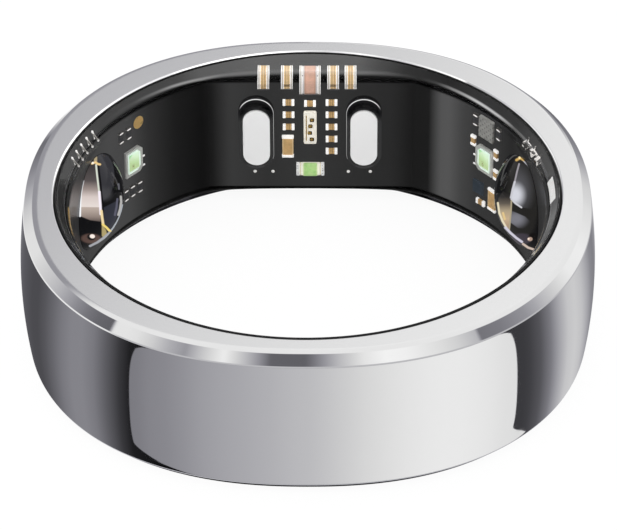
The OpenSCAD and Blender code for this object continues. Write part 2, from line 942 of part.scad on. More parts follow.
module test_pad() {
    color("gold")
    on_arc(test_pad_shares[0], test_pad_shares[1] * ring_h, test_pad_d)
    plate(foil_t, 0)
    circle(test_pad_d / 2);
}

// A gold strip printed on the board
module trace(gap = 0) {
    arc_band(board_r - foil_gap - foil_t - gap, board_r - foil_gap + gap,
        trace_z_shares[0] * ring_h - gap, trace_z_shares[1] * ring_h + gap,
        trace_turn_shares[0] * dome_turn - (gap > 0 ? gap_turn : 0),
        trace_turn_shares[1] * dome_turn + (gap > 0 ? gap_turn : 0));
}

module antenna_trace() {
    color("gold")
    trace();
}

// A bent pin under the slope: a post from the core, a bar along the slope and two round ends
module prong(share, gap = 0) {
    low = [0, prong_shares[0][0] * slope_run, prong_shares[0][1] * slope_rise];
    high = [0, prong_shares[1][0] * slope_run, prong_shares[1][1] * slope_rise];
    rotate([0, 0, -share * dome_turn])
    translate([0, bore_r, face_z[1]]) {
        for (p = [low, high])
            translate(p)
            sphere(prong_d + gap, $fn = 48);
        translate(low)
        rotate([-atan2(high[1] - low[1], high[2] - low[2]), 0, 0])
        cylinder(r = prong_d / 2 + gap, h = norm(high - low), $fn = 48);
        translate([0, high[1], core_z[1] - face_z[1] - gap])
        cylinder(r = prong_d / 2 + gap, h = high[2] - core_z[1] + face_z[1] + gap, $fn = 48);
    }
}

module connector_prongs() {
    color("silver")
    for (share = prong_turn_shares)
        prong(share);
}

// Three clips on a rail, each with a peg, standing on the core under the slope
module clip(gap = 0) {
    y0 = bore_r + clip_shares[0] * slope_run;
    y1 = bore_r + clip_shares[1] * slope_run;
    top = core_z[1] + clip_shares[2] * slope_rise;
    rail_z = [for (share = rail_shares) core_z[1] + share * (top - core_z[1])];
    w = clip_w_share * (y1 - y0);
    turns = clip_turn_shares * dome_turn;
    color("silver")
    union() {
        arc_band(y1 - foil_t - gap, y1 + foil_t + gap, rail_z[0] - gap, rail_z[1] + gap,
            turns[0], turns[2]);
        for (turn = turns)
            rotate([0, 0, -turn]) {
                translate([-w / 2 - gap, y0 - gap, core_z[1] - gap])
                cube([w + 2 * gap, y1 - y0 + 2 * gap, top - core_z[1] + 2 * gap]);
                translate([0, bore_r + peg_shares[0] * slope_run, rail_z[0]])
                cylinder(r = prong_d / 2 + gap,
                    h = core_z[1] + peg_shares[1] * slope_rise - rail_z[0] + gap, $fn = 48);
            }
    }
}

module shield_clip() {
    clip();
}

// A thin leaf that leans outward from the core, under the slope
module foil(gap = 0) {
    r = [for (share = foil_shares[0]) bore_r + share * slope_run];
    h = foil_shares[1][1] * slope_rise;
    turn = foil_turn_shares * dome_turn + (gap > 0 ? [-gap_turn, gap_turn] : [0, 0]);
    rotate([0, 0, 90 - turn[1]])
    rotate_extrude(angle = turn[1] - turn[0])
    polygon([[r[0] - gap, core_z[1] - gap], [r[0] + foil_t + gap, core_z[1] - gap],
        [r[1] + foil_t + gap, core_z[1] + h + gap], [r[1] - gap, core_z[1] + h + gap]]);
}

module ground_foil() {
    color("silver")
    foil();
}

// The solder dots' places under the contact pads
module each_dot() {
    for (share = dot_x_shares)
        on_flat(share * flat_w, dot_z_share * ring_h)
        children();
}

module solder_dots() {
    color("silver")
    each_dot()
    intersection() {
        sphere(dot_d / 2, $fn = 48);
        block(dot_d, dot_d, dot_d);
    }
}

outer_shell();
core_ring();
inner_liner();
circuit_board();
battery_cell();
battery_tabs();
processor_chip();
power_chip();
contact_pad_left();
contact_pad_right();
pad_bezel_left();
pad_bezel_right();
lens_dome_left();
lens_dome_right();
light_sensor_left();
light_sensor_right();
bond_wires_left();
bond_wires_right();
emitter_body_left();
emitter_body_right();
emitter_window_left();
emitter_window_right();
emitter_leads();
lamp_body();
lamp_window();
lamp_ends();
contact_strip();
strip_contacts();
small_capacitors();
small_capacitor_ends();
bulk_capacitors();
bulk_capacitor_ends();
rim_capacitors();
rim_capacitor_ends();
rim_coil();
rim_coil_ends();
resistors();
resistor_ends();
radio_chip();
motion_chip();
test_pad();
antenna_trace();
connector_prongs();
shield_clip();
ground_foil();
solder_dots();
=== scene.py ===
import math

import bmesh
import bpy
from mathutils import Matrix, Vector


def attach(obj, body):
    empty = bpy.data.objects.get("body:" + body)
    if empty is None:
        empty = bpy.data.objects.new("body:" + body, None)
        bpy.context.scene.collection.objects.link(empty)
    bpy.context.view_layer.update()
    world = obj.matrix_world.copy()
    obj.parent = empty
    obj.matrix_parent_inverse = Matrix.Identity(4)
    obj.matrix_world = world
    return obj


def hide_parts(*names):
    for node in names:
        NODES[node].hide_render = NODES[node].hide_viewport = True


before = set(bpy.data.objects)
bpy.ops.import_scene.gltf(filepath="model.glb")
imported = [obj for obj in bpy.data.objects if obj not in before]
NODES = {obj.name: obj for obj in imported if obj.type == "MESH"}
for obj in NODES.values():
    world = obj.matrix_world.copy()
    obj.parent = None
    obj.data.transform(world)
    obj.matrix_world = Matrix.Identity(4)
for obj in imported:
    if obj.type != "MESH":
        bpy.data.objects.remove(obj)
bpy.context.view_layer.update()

bl_info = {
    "name": "Smart ring dresser",
    "version": (1, 0, 0),
    "blender": (4, 5, 0),
    "location": "3D View > Sidebar > Ring",
    "description": "Builds the metal shell, clear liner and electronics of a smart ring",
    "category": "Object",
}


MM = 0.001
# Radians that the camera looks down by
CAMERA_TILT = 0.620438533
# Where the domes stand: degrees round from the middle of the flat, and the height of their middle
DOME_TURN = 67.754
DOME_HEIGHT = 3.65 * MM
# The part of a noise's range over which a grain goes from its one value to its other
GRAIN = 0.3, 0.7
# Corners closer than this are one
WELD = 1e-7


class Term:
    """A node's output that can be used in a sum."""

    def __init__(self, plan, socket):
        self.plan = plan
        self.socket = socket

    def of(self, operation, *others):
        return self.plan.sum(operation, self, *others)

    def __add__(self, other):
        return self.of("ADD", other)

    def __radd__(self, other):
        return self.plan.sum("ADD", other, self)

    def __sub__(self, other):
        return self.of("SUBTRACT", other)

    def __rsub__(self, other):
        return self.plan.sum("SUBTRACT", other, self)

    def __mul__(self, other):
        return self.of("MULTIPLY", other)

    def __rmul__(self, other):
        return self.plan.sum("MULTIPLY", other, self)

    def __truediv__(self, other):
        return self.of("DIVIDE", other)

    def __rtruediv__(self, other):
        return self.plan.sum("DIVIDE", other, self)

    def __pow__(self, other):
        return self.of("POWER", other)

    def __abs__(self):
        return self.of("ABSOLUTE")

    def __neg__(self):
        return self.plan.sum("MULTIPLY", self, -1.0)

    def __gt__(self, other):
        return self.of("GREATER_THAN", other)

    def __lt__(self, other):
        return self.of("LESS_THAN", other)


class Plan:
    """Adds nodes to one node tree."""

    def __init__(self, tree):
        self.tree = tree

    def node(self, kind, settings=None, values=None):
        made = self.tree.nodes.new(kind)
        for name, value in (settings or {}).items():
            if name == "stops":
                ramp = made.color_ramp
                while len(ramp.elements) < len(value):
                    ramp.elements.new(0.5)
                for element, (place, shade) in zip(ramp.elements, value):
                    element.position = place
                    element.color = shade if len(shade) == 4 else (*shade, 1.0)
            else:
                setattr(made, name, value)
        for name, value in (values or {}).items():
            if isinstance(value, Term):
                self.tree.links.new(value.socket, made.inputs[name])
            else:
                made.inputs[name].default_value = value
        return made

    def term(self, kind, settings=None, values=None, out=0):
        return Term(self, self.node(kind, settings, values).outputs[out])

    def sum(self, operation, *terms):
        return self.term("ShaderNodeMath", {"operation": operation}, dict(enumerate(terms)))

    def parts(self, vector):
        split = self.node("ShaderNodeSeparateXYZ", None, {0: vector})
        return [Term(self, out) for out in split.outputs]

    def vector(self, operation, first, second=None, out=0):
        values = {0: first} if second is None else {0: first, 1: second}
        return self.term("ShaderNodeVectorMath", {"operation": operation}, values, out)

    def grey(self, level):
        return self.join(level, level, level)

    def join(self, x, y, z):
        return self.term("ShaderNodeCombineXYZ", None, {0: x, 1: y, 2: z})

    def ease(self, value, low, high, start=0.0, end=1.0):
        """A smooth step of value from low to high, between start and end."""
        return self.term("ShaderNodeMapRange", {"interpolation_type": "SMOOTHSTEP"},
                         {"Value": value, "From Min": low, "From Max": high,
                          "To Min": start, "To Max": end})

    def ramp(self, value, stops, low=0.0, high=1.0):
        """A colour from the stops, whose places run from 0 at low to 1 at high."""
        place = (value - low) / (high - low)
        return Term(self, self.node("ShaderNodeValToRGB", {"stops": stops},
                                    {0: place}).outputs[0])

    def band(self, value, stops):
        """A grey that follows the (place, level) stops."""
        low, high = stops[0][0], stops[-1][0]
        return self.ramp(value, [((at - low) / (high - low), (v, v, v)) for at, v in stops],
                         low, high)

    def blend(self, share, first, second):
        """A colour between first and second."""
        made = self.node("ShaderNodeMix", {"data_type": "RGBA"})
        for place, value in ((0, share), (6, first), (7, second)):
            if isinstance(value, Term):
                self.tree.links.new(value.socket, made.inputs[place])
            elif place:
                made.inputs[place].default_value = (*value, 1.0)[:4]
            else:
                made.inputs[place].default_value = value
        return Term(self, made.outputs[2])

    def noise(self, scale, detail=2.0, coords=None, rough=0.5):
        values = {"Scale": scale, "Detail": detail, "Roughness": rough}
        if coords is not None:
            values["Vector"] = coords
        return self.term("ShaderNodeTexNoise", None, values)


def material(name, recipe, metal=0.0, **settings):
    """A Principled material whose recipe gives a base and a rough, and may give a glow, a bump and
    a clear: the glow is painted light that the surface sends out, and where clear is 1 the surface
    isn't seen at all. The settings are the shader's own sockets, in small letters."""
    made = bpy.data.materials.new(name)
    made.use_nodes = True
    made.node_tree.nodes.clear()
    plan = Plan(made.node_tree)
    varied = recipe(plan)
    values = {"Base Color": varied["base"], "Roughness": varied["rough"], "Metallic": metal}
    if "glow" in varied:
        values["Emission Color"] = varied["glow"]
    if "bump" in varied:
        values["Normal"] = varied["bump"]
    for label, value in settings.items():
        values[label.replace("_", " ").title().replace("Ior", "IOR")] = value
    surface = plan.term("ShaderNodeBsdfPrincipled", None, values)
    if "clear" in varied:
        nothing = plan.term("ShaderNodeBsdfTransparent")
        surface = plan.term("ShaderNodeMixShader", None,
                            {0: varied["clear"], 1: surface, 2: nothing})
    plan.node("ShaderNodeOutputMaterial", None, {"Surface": surface})
    return made


def place_of(plan):
    """The place on the ring, in metres."""
    return Term(plan, plan.node("ShaderNodeTexCoord").outputs["Object"])


def local_of(plan):
    """The place inside a block, from -1 to 1 along its own axes."""
    return Term(plan, plan.node("ShaderNodeAttribute",
                                {"attribute_name": "local"}).outputs["Vector"])


def bump_of(plan, height, distance, strength=1.0):
    return plan.term("ShaderNodeBump", None,
                     {"Height": height, "Distance": distance, "Strength": strength})


def turn_of(x, y):
    """Degrees from +Y toward +X: on the ring, those round from the middle of the flat."""
    return x.of("ARCTAN2", y) * (180 / math.pi)


def darker(shade, share):
    return tuple(c * share for c in shade)


def mottled(shade, spread, scale, rough, rough_spread=0.08, depth=0.0):
    """A recipe: a colour that drifts a little, with the gloss and a fine grain to match."""
    def recipe(plan):
        coords = place_of(plan)
        drift = plan.noise(scale, 4.0, coords, 0.6)
        light = tuple(min(1.0, c * (1 + spread)) for c in shade)
        made = {"base": plan.blend(drift, darker(shade, 1 - spread), light),
                "rough": plan.ease(drift, *GRAIN, rough - rough_spread, rough + rough_spread)}
        if depth:
            grain = plan.noise(scale * 6, 2.0, coords)
            made["bump"] = bump_of(plan, grain, depth)
        return made
    return recipe


def grained(name, gloss, tone, scale=9000.0, detail=3.0, metal=0.0, **settings):
    """A material whose roughness follows a fine grain between the two values of gloss. tone gives
    its colour, in which it also glows as painted light, or the terms of a recipe."""
    def recipe(plan):
        grain = plan.noise(scale, detail, place_of(plan))
        made = tone(plan, grain)
        if isinstance(made, Term):
            made = {"base": made, "glow": made}
        return {"rough": plan.ease(grain, *GRAIN, *gloss), **made}
    return material(name, recipe, metal, **settings)


def lines(plan, value, places, width):
    """1 on thin lines where value is near one of the places, 0 between them."""
    total = None
    for place in places:
        line = plan.ease(abs(value - place), width, width * 0.5)
        total = line if total is None else total.of("MAXIMUM", line)
    return total


def dress(node, made):
    """Gives a carried-over node its material."""
    piece = NODES[node]
    piece.data.materials.clear()
    piece.data.materials.append(made)


class Picture:
    """Painted reflections and highlights, and the dies and bonds seen inside, drawn as shapes on a
    dome as its front shows them, in millimetres from the dome's middle.
    """

    def __init__(self, plan, middle):
        self.plan = plan
        x, y, z = plan.parts(place_of(plan))
        across = math.sin(CAMERA_TILT), math.cos(CAMERA_TILT)
        self.u = x / MM - middle[0]
        self.w = (y * across[0] + z * across[1]) / MM - middle[1]
        self.shade = (0.006, 0.006, 0.007)

    def paint(self, mask, shade):
        self.shade = self.plan.blend(mask, self.shade, shade)

    def spot(self, place, reach, soft, shade, within=None):
        """An oval of the given half-sizes with a soft edge, and only where within is 1."""
        u, w = (self.u - place[0]) / reach[0], (self.w - place[1]) / reach[1]
        mask = self.plan.ease((u * u + w * w).of("SQRT"), 1.0 + soft * 0.3, 1.0 - soft)
        self.paint(mask if within is None else within * mask, shade)

    def outline(self, corners, soft=0.025):
        """1 inside a convex outline whose corners run against the clock."""
        total = None
        for start, end in zip(corners, corners[1:] + corners[:1]):
            du, dw = end[0] - start[0], end[1] - start[1]
            size = math.hypot(du, dw)
            off = (self.w - start[1]) * (du / size) - (self.u - start[0]) * (dw / size)
            total = off if total is None else total.of("MINIMUM", off)
        return self.plan.ease(total, -soft, soft)

    def field(self, corners, shade):
        self.paint(self.outline(corners), shade)

    def stroke(self, points, width, shade):
        """A thin line through the points."""
        total = None
        for start, end in zip(points, points[1:]):
            du, dw = end[0] - start[0], end[1] - start[1]
            u, w = self.u - start[0], self.w - start[1]
            along = ((u * du + w * dw) / (du * du + dw * dw)).of("MAXIMUM", 0.0)
            along = along.of("MINIMUM", 1.0)
            u, w = u - along * du, w - along * dw
            line = self.plan.ease((u * u + w * w).of("SQRT"), width, width * 0.4)
            total = line if total is None else total.of("MAXIMUM", line)
        self.paint(total, shade)


def left_picture(plan):
    """The left dome's painted reflections: a lit wedge between two bright edges, a grey lens
    beside it, gold bonds with painted glints.
    """
    art = Picture(plan, (-9.206, 5.503))
    art.spot((0.01, 0.8), (0.58, 1.08), 0.06, (0.036, 0.036, 0.042))
    art.spot((0.17, 0.05), (0.38, 0.35), 0.8, (0.062, 0.062, 0.068))
    art.field([(0.12, -0.57), (0.07, -1.01), (0.13, -1.45), (0.27, -1.62), (0.53, -1.26),
               (0.71, -0.82), (0.75, -0.42), (0.65, -0.27)], (0.03, 0.032, 0.045))
    art.stroke([(0.71, -0.16), (0.67, -0.51), (0.59, -0.87)], 0.056, (0.1, 0.1, 0.14))
    art.stroke([(0.84, -0.04), (0.85, -0.28), (0.8, -0.6),
                (0.72, -0.86)], 0.056, (0.45, 0.44, 0.43))
    art.stroke([(0.9, -0.41), (0.81, -0.81), (0.64, -1.17), (0.47, -1.44),
                (0.36, -1.57)], 0.04, (0.36, 0.39, 0.43))
    art.stroke([(0.75, 0.51), (0.77, 0.29)], 0.05, (0.12, 0.12, 0.14))
    art.stroke([(-0.91, 1.18), (-1.03, 0.74), (-1.15, 0.29),
                (-1.24, -0.1)], 0.186, (0.09, 0.09, 0.11))
    art.stroke([(-1.17, 0.21), (-1.26, -0.23)], 0.124, (0.2, 0.2, 0.23))
    art.stroke([(-1.26, -0.54), (-1.28, -1.02), (-1.28, -1.46)], 0.056, (0.5, 0.33, 0.12))
    wedge = art.outline([(-0.86, -0.93), (-0.44, -1.11), (0, -1.17), (0.02, -0.57), (-0.04, 0.13),
                         (-0.16, 1.02), (-0.22, 1.37), (-0.41, 1.5), (-0.59, 1.19), (-0.73, 0.74),
                         (-0.81, 0.21), (-0.85, -0.36)])
    # The wedge's colour runs up it, with a painted highlight band across it
    fill = plan.ramp(art.w, [(0, (0.13, 0.1, 0.09)), (0.08, (0.3, 0.24, 0.21)),
                             (0.2, (0.47, 0.39, 0.34)), (0.235, (0.5, 0.41, 0.36)),
                             (0.25, (0.8, 0.72, 0.68)), (0.42, (0.68, 0.59, 0.56)),
                             (0.55, (0.34, 0.28, 0.26)), (0.7, (0.1, 0.085, 0.085)),
                             (1, (0.04, 0.036, 0.036))], -1.15, 1.37)
    art.paint(wedge, fill)
    art.stroke([(-0.41, 1.55), (-0.53, 1.32), (-0.65, 0.96),
                (-0.72, 0.65)], 0.04, (0.2, 0.2, 0.19))
    art.stroke([(-0.72, 0.61), (-0.78, 0.3), (-0.82, -0.01), (-0.84, -0.41),
                (-0.86, -0.93)], 0.062, (0.95, 0.97, 1))
    art.stroke([(-0.09, 1.29), (0.02, 0.53), (0.1, -0.35),
                (0.12, -0.75)], 0.05, (0.004, 0.004, 0.005))
    art.stroke([(-0.19, 1.33), (-0.14, 0.93), (-0.08, 0.48), (-0.02, 0)], 0.053, (0.7, 0.74, 0.64))
    art.stroke([(-0.03, 0.13), (0.01, -0.44), (0.02, -0.84)], 0.075, (0.95, 0.88, 0.97))
    art.field([(0.05, -1.27), (0.01, -1.8), (0.08, -1.89), (0.22, -1.75),
               (0.2, -1.54)], (0.42, 0.34, 0.15))
    art.stroke([(0.05, -0.7), (0.07, -0.97), (0.1, -1.27)], 0.075, (0.9, 0.72, 0.4))
    art.stroke([(0.09, -1.3), (0.23, -1.43), (0.34, -1.58)], 0.068, (0.9, 0.7, 0.2))
    art.stroke([(-0.23, 1.67), (-0.22, 1.49)], 0.093, (0.42, 0.34, 0.2))
    art.stroke([(-0.36, 1.39), (-0.22, 1.45), (-0.13, 1.38),
                (-0.03, 1.36)], 0.068, (0.85, 0.6, 0.26))
    art.spot((-0.33, 1.42), (0.06, 0.06), 0.5, (0.95, 0.9, 0.8))
    art.spot((-0.44, -1.92), (0.46, 0.24), 0.3, (0.1, 0.06, 0.05))
    art.spot((-0.43, -1.85), (0.19, 0.16), 0.3, (0.01, 0.008, 0.008))
    art.spot((-0.38, -1.82), (0.12, 0.1), 0.3, (1, 0.88, 0.8))
    art.stroke([(0.33, -1.64), (0.08, -1.87), (-0.22, -2.09),
                (-0.53, -2.25)], 0.062, (0.36, 0.37, 0.4))
    return art


def right_picture(plan):
    """The right dome's painted reflections: a cool highlight beside a thin edge, a brown and gold
    field, gold bonds with painted glints.
    """
    art = Picture(plan, (9.239, 5.321))
    art.spot((0.17, 0), (0.79, 2.12), 0.25, (0.02, 0.019, 0.018))
    side = art.outline([(-0.34, -1.36), (-0.31, -0.7), (-0.28, -0.22), (-0.3, 0.18), (-0.63, 0.41),
                        (-0.82, 0.11), (-0.83, -0.29), (-0.74, -0.69), (-0.56, -1.09)])
    fill = plan.ramp(art.w, [(0, (0.3, 0.19, 0.13)), (0.3, (0.56, 0.42, 0.27)),
                             (0.5, (0.42, 0.34, 0.23)), (0.68, (0.12, 0.1, 0.08)),
                             (0.85, (0.03, 0.027, 0.026)),
                             (1, (0.018, 0.017, 0.017))], -1.35, 0.41)
    art.paint(side, fill)
    art.stroke([(-0.62, -0.56), (-0.54, -0.83)], 0.062, (0.75, 0.56, 0.26))
    upper = art.outline([(-0.3, 0.05), (-0.11, -0.15), (0.17, -0.33), (0.6, -0.4), (0.94, 0.43),
                         (0.52, 1.54), (0.06, 1.64), (-0.15, 0.8), (-0.26, 0.44)])
    art.spot((0, 0.44), (0.67, 1.15), 0.9, (0.1, 0.1, 0.11), upper)
    art.spot((-0.13, 0.22), (0.46, 0.58), 0.75, (0.66, 0.67, 0.73), upper)
    lower = art.outline([(-0.33, -0.96), (0.03, -1.23), (0.41, -1.28), (0.57, -0.97),
                         (0.31, -0.73), (-0.04, -0.57), (-0.29, -0.46)])
    art.spot((-0.07, -0.83), (0.54, 0.44), 0.8, (0.2, 0.2, 0.23), lower)
    art.stroke([(-0.28, 0.03), (-0.11, -0.15), (0.15, -0.33)], 0.05, (0.62, 0.62, 0.66))
    art.stroke([(0.06, 1.6), (-0.04, 1.24), (-0.14, 0.8)], 0.05, (0.34, 0.32, 0.35))
    art.stroke([(-0.14, 0.8), (-0.23, 0.47), (-0.3, 0.11)], 0.062, (0.6, 0.6, 0.65))
    art.stroke([(-0.28, -0.04), (-0.29, -0.44), (-0.32, -0.96),
                (-0.34, -1.31)], 0.047, (0.42, 0.36, 0.24))
    art.stroke([(-0.84, -0.11), (-0.77, -0.56), (-0.63, -0.91),
                (-0.45, -1.22)], 0.056, (0.78, 0.7, 0.5))
    art.spot((0.18, -1.71), (0.5, 0.27), 0.3, (0.05, 0.042, 0.055))
    art.stroke([(-0.49, -1.2), (-0.27, -1.44), (-0.01, -1.67),
                (0.23, -1.84)], 0.068, (0.62, 0.6, 0.7))
    art.stroke([(0.28, -1.93), (0.51, -2.09), (0.77, -2.18)], 0.062, (0.62, 0.5, 0.42))
    art.stroke([(-0.71, 0.9), (-0.58, 1.35), (-0.4, 1.75), (-0.18, 1.97), (0.07, 2.05),
                (0.32, 1.95), (0.53, 1.68)], 0.043, (0.07, 0.07, 0.07))
    art.stroke([(0.23, 1.77), (0.44, 1.54), (0.65, 1.19), (0.81, 0.7), (0.91, 0.17), (0.97, -0.53),
                (1.01, -1.23)], 0.053, (0.5, 0.5, 0.54))
    art.stroke([(-0.04, 1.78), (0.11, 1.87), (0.27, 1.77)], 0.081, (0.62, 0.4, 0.12))
    art.spot((0.09, 1.88), (0.06, 0.07), 0.5, (0.98, 0.82, 0.45))
    art.spot((0.68, -1.61), (0.21, 0.18), 0.4, (0.006, 0.005, 0.005))
    art.spot((0.56, -1.72), (0.12, 0.1), 0.3, (0.42, 0.3, 0.24))
    art.spot((0.5, -1.71), (0.05, 0.05), 0.5, (0.98, 0.8, 0.68))
    return art

def piece_of(name, mesh, made, nodes):
    """Turns a mesh into a finished piece that stands for the named nodes."""
    piece = bpy.data.objects.new(name, mesh)
    bpy.context.scene.collection.objects.link(piece)
    mesh.materials.clear()
    mesh.materials.append(made)
    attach(piece, "root")
    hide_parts(*nodes)
    return piece


def mesh_from(points, faces, name, smooth=True, values=None):
    mesh = bpy.data.meshes.new(name)
    mesh.from_pydata([tuple(p) for p in points], [], faces)
    for label, column in (values or {}).items():
        held = mesh.attributes.new(label, "FLOAT", "POINT")
        held.data.foreach_set("value", column)
    mesh.validate()
    tidy = bmesh.new()
    tidy.from_mesh(mesh)
    bmesh.ops.remove_doubles(tidy, verts=tidy.verts, dist=WELD)
    bmesh.ops.recalc_face_normals(tidy, faces=tidy.faces)
    for face in tidy.faces:
        face.smooth = smooth
    tidy.to_mesh(mesh)
    tidy.free()
    return mesh


def grown(name, start, tree, inputs, made):
    """Runs a Geometry Nodes tree on a start mesh and returns the result as a plain mesh."""
    seed = bpy.data.objects.new(name + ".seed", start)
    bpy.context.scene.collection.objects.link(seed)
    modifier = seed.modifiers.new(name, "NODES")
    modifier.node_group = tree
    wanted = dict(inputs, Material=made)
    for socket in tree.interface.items_tree:
        if socket.item_type == "SOCKET" and socket.in_out == "INPUT" and socket.name in wanted:
            modifier[socket.identifier] = wanted[socket.name]
    bpy.context.view_layer.update()
    result = bpy.data.meshes.new_from_object(
        seed.evaluated_get(bpy.context.evaluated_depsgraph_get()))
    seed.modifiers.remove(modifier)
    bpy.data.objects.remove(seed)
    tidy = bmesh.new()
    tidy.from_mesh(result)
    bmesh.ops.remove_doubles(tidy, verts=tidy.verts, dist=WELD)
    bmesh.ops.recalc_face_normals(tidy, faces=tidy.faces)
    tidy.to_mesh(result)
    tidy.free()
    result.name = name
    return result


def new_tree(name, sockets):
    """An empty Geometry Nodes tree with named inputs, and a plan to fill it."""
    tree = bpy.data.node_groups.new(name, "GeometryNodeTree")
    tree.interface.new_socket("Geometry", in_out="INPUT", socket_type="NodeSocketGeometry")
    tree.interface.new_socket("Geometry", in_out="OUTPUT", socket_type="NodeSocketGeometry")
    for label, kind in sockets:
        tree.interface.new_socket(label, in_out="INPUT", socket_type="NodeSocket" + kind)
    tree.interface.new_socket("Material", in_out="INPUT", socket_type="NodeSocketMaterial")
    plan = Plan(tree)
    inlet = plan.node("NodeGroupInput")
    return tree, plan, {out.name: Term(plan, out) for out in inlet.outputs if out.name}


def close_tree(plan, geometry, given):
    """Ends a tree in Realize Instances and Set Material."""
    solid = plan.term("GeometryNodeRealizeInstances", None, {"Geometry": geometry})
    smooth = plan.term("GeometryNodeSetShadeSmooth", None, {"Geometry": solid})
    dressed = plan.term("GeometryNodeSetMaterial", None,
                        {"Geometry": smooth, "Material": given["Material"]})
    plan.node("NodeGroupOutput", None, {0: dressed})


def hoop_tree():
    """Sweeps a section round the finger along an outline.

    A section point holds a share of the outline, a distance to add to it and a height. The
    outline is a superellipse, or a circle with a flat that two blend arcs join. A share of -1
    takes the back outline instead, a circle that the flat cuts."""
    tree, plan, given = new_tree("Hoop", [
        ("Steps", "Int"), ("Section Points", "Int"), ("Reach", "Float"), ("Power", "Float"),
        ("Flat", "Float"), ("Flat Half", "Float"), ("Blend", "Float"), ("Has Flat", "Float"),
        ("Back Reach", "Float"), ("Back Flat", "Float")])
    steps, count = given["Steps"], given["Section Points"]
    grid = plan.node("GeometryNodeMeshGrid", None,
                     {"Size X": 1.0, "Size Y": 1.0, "Vertices X": steps + 1,
                      "Vertices Y": count + 1})
    x, y, _ = plan.parts(plan.term("GeometryNodeInputPosition"))
    row = ((y + 0.5) * count + 0.5).of("FLOOR").of("MODULO", count)
    turn = (x + 0.5) * (2 * math.pi)
    section = plan.node("GeometryNodeSampleIndex", {"data_type": "FLOAT_VECTOR"},
                        {"Geometry": given["Geometry"], "Index": row,
                         "Value": plan.term("GeometryNodeInputPosition")})
    share, add, height = plan.parts(Term(plan, section.outputs[0]))
    sine, cosine = turn.of("SINE"), turn.of("COSINE")
    power = given["Power"]
    squared = given["Reach"] / (abs(sine) ** power + abs(cosine) ** power) ** (1 / power)
    flat, half, blend = given["Flat"], given["Flat Half"], given["Blend"]
    centre_y = flat - blend
    along = abs(sine) * half + cosine * centre_y
    far = half * half + centre_y * centre_y
    corner = along + (blend * blend - far + along * along).of("MAXIMUM", 0.0).of("SQRT")
    off = turn.of("PINGPONG", math.pi)
    on_flat = off < half.of("ARCTAN2", flat)
    on_blend = (off < half.of("ARCTAN2", centre_y)) - on_flat
    round_part = 1 - on_flat - on_blend
    planed = (on_flat * flat / cosine.of("MAXIMUM", 0.1) + on_blend * corner
              + round_part * given["Reach"])
    pick = given["Has Flat"]
    behind = share < -0.5
    back = given["Back Reach"].of("MINIMUM", given["Back Flat"] / cosine.of("MAXIMUM", 0.1))
    radius = (planed * pick + squared * (1 - pick)) * share * (1 - behind) + back * behind + add
    moved = plan.term("GeometryNodeSetPosition", None,
                      {"Geometry": Term(plan, grid.outputs[0]),
                       "Position": plan.join(radius * sine, radius * cosine, height)})
    closed = plan.term("GeometryNodeMergeByDistance", None, {"Geometry": moved, "Distance": 2e-7})
    close_tree(plan, closed, given)
    return tree


def chip_tree():
    """Puts a block with softly rounded edges at every point, turned and sized by attributes."""
    tree, plan, given = new_tree("Small Parts", [("Cells", "Int"), ("Edge Power", "Float")])
    cube = plan.node("GeometryNodeMeshCube", None,
                     {"Size": (2.0, 2.0, 2.0), "Vertices X": given["Cells"],
                      "Vertices Y": given["Cells"], "Vertices Z": given["Cells"]})
    place = plan.term("GeometryNodeInputPosition")
    x, y, z = plan.parts(place)
    power = given["Edge Power"]
    size = (abs(x) ** power + abs(y) ** power + abs(z) ** power) ** (1 / power)
    marked = plan.term("GeometryNodeStoreNamedAttribute",
                       {"data_type": "FLOAT_VECTOR", "domain": "POINT"},
                       {"Geometry": Term(plan, cube.outputs[0]), "Name": "local",
                        "Value": place})
    soft = plan.term("GeometryNodeSetPosition", None,
                     {"Geometry": marked, "Position": plan.join(x / size, y / size, z / size)})

    def held(name):
        return plan.term("GeometryNodeInputNamedAttribute", {"data_type": "FLOAT_VECTOR"},
                         {"Name": name})

    placed = plan.term("GeometryNodeInstanceOnPoints", None,
                       {"Points": given["Geometry"], "Instance": soft,
                        "Rotation": held("turned"), "Scale": held("sized")})
    close_tree(plan, placed, given)
    return tree


def section_mesh(name, points):
    mesh = bpy.data.meshes.new(name)
    mesh.from_pydata(points, [], [])
    return mesh


def point_mesh(name, rows):
    """Points with a turn and half-sizes each: rows of (place, angles, half-sizes)."""
    mesh = bpy.data.meshes.new(name)
    mesh.from_pydata([tuple(place) for place, _, _ in rows], [], [])
    for label, column in (("turned", 1), ("sized", 2)):
        held = mesh.attributes.new(label, "FLOAT_VECTOR", "POINT")
        for i, row in enumerate(rows):
            held.data[i].vector = row[column]
    return mesh


def rounded(corners, steps=8):
    """A section path whose corners (share, add, z, radius) are rounded in the add-z plane."""
    path = []
    for i, (share, add, z, radius) in enumerate(corners):
        if not radius:
            path.append((share, add, z))
            continue
        here = Vector((add, z))
        back = Vector(corners[i - 1][1:3]) - here
        ahead = Vector(corners[(i + 1) % len(corners)][1:3]) - here
        turn = back.angle(ahead)
        reach = radius / math.tan(turn / 2)
        start, end = here + back.normalized() * reach, here + ahead.normalized() * reach
        centre = here + (back.normalized() + ahead.normalized()).normalized() * (
            radius / math.sin(turn / 2))
        for k in range(steps + 1):
            spoke = (start - centre).lerp(end - centre, k / steps).normalized() * radius
            path.append((share, (centre + spoke)[0], (centre + spoke)[1]))
    return path


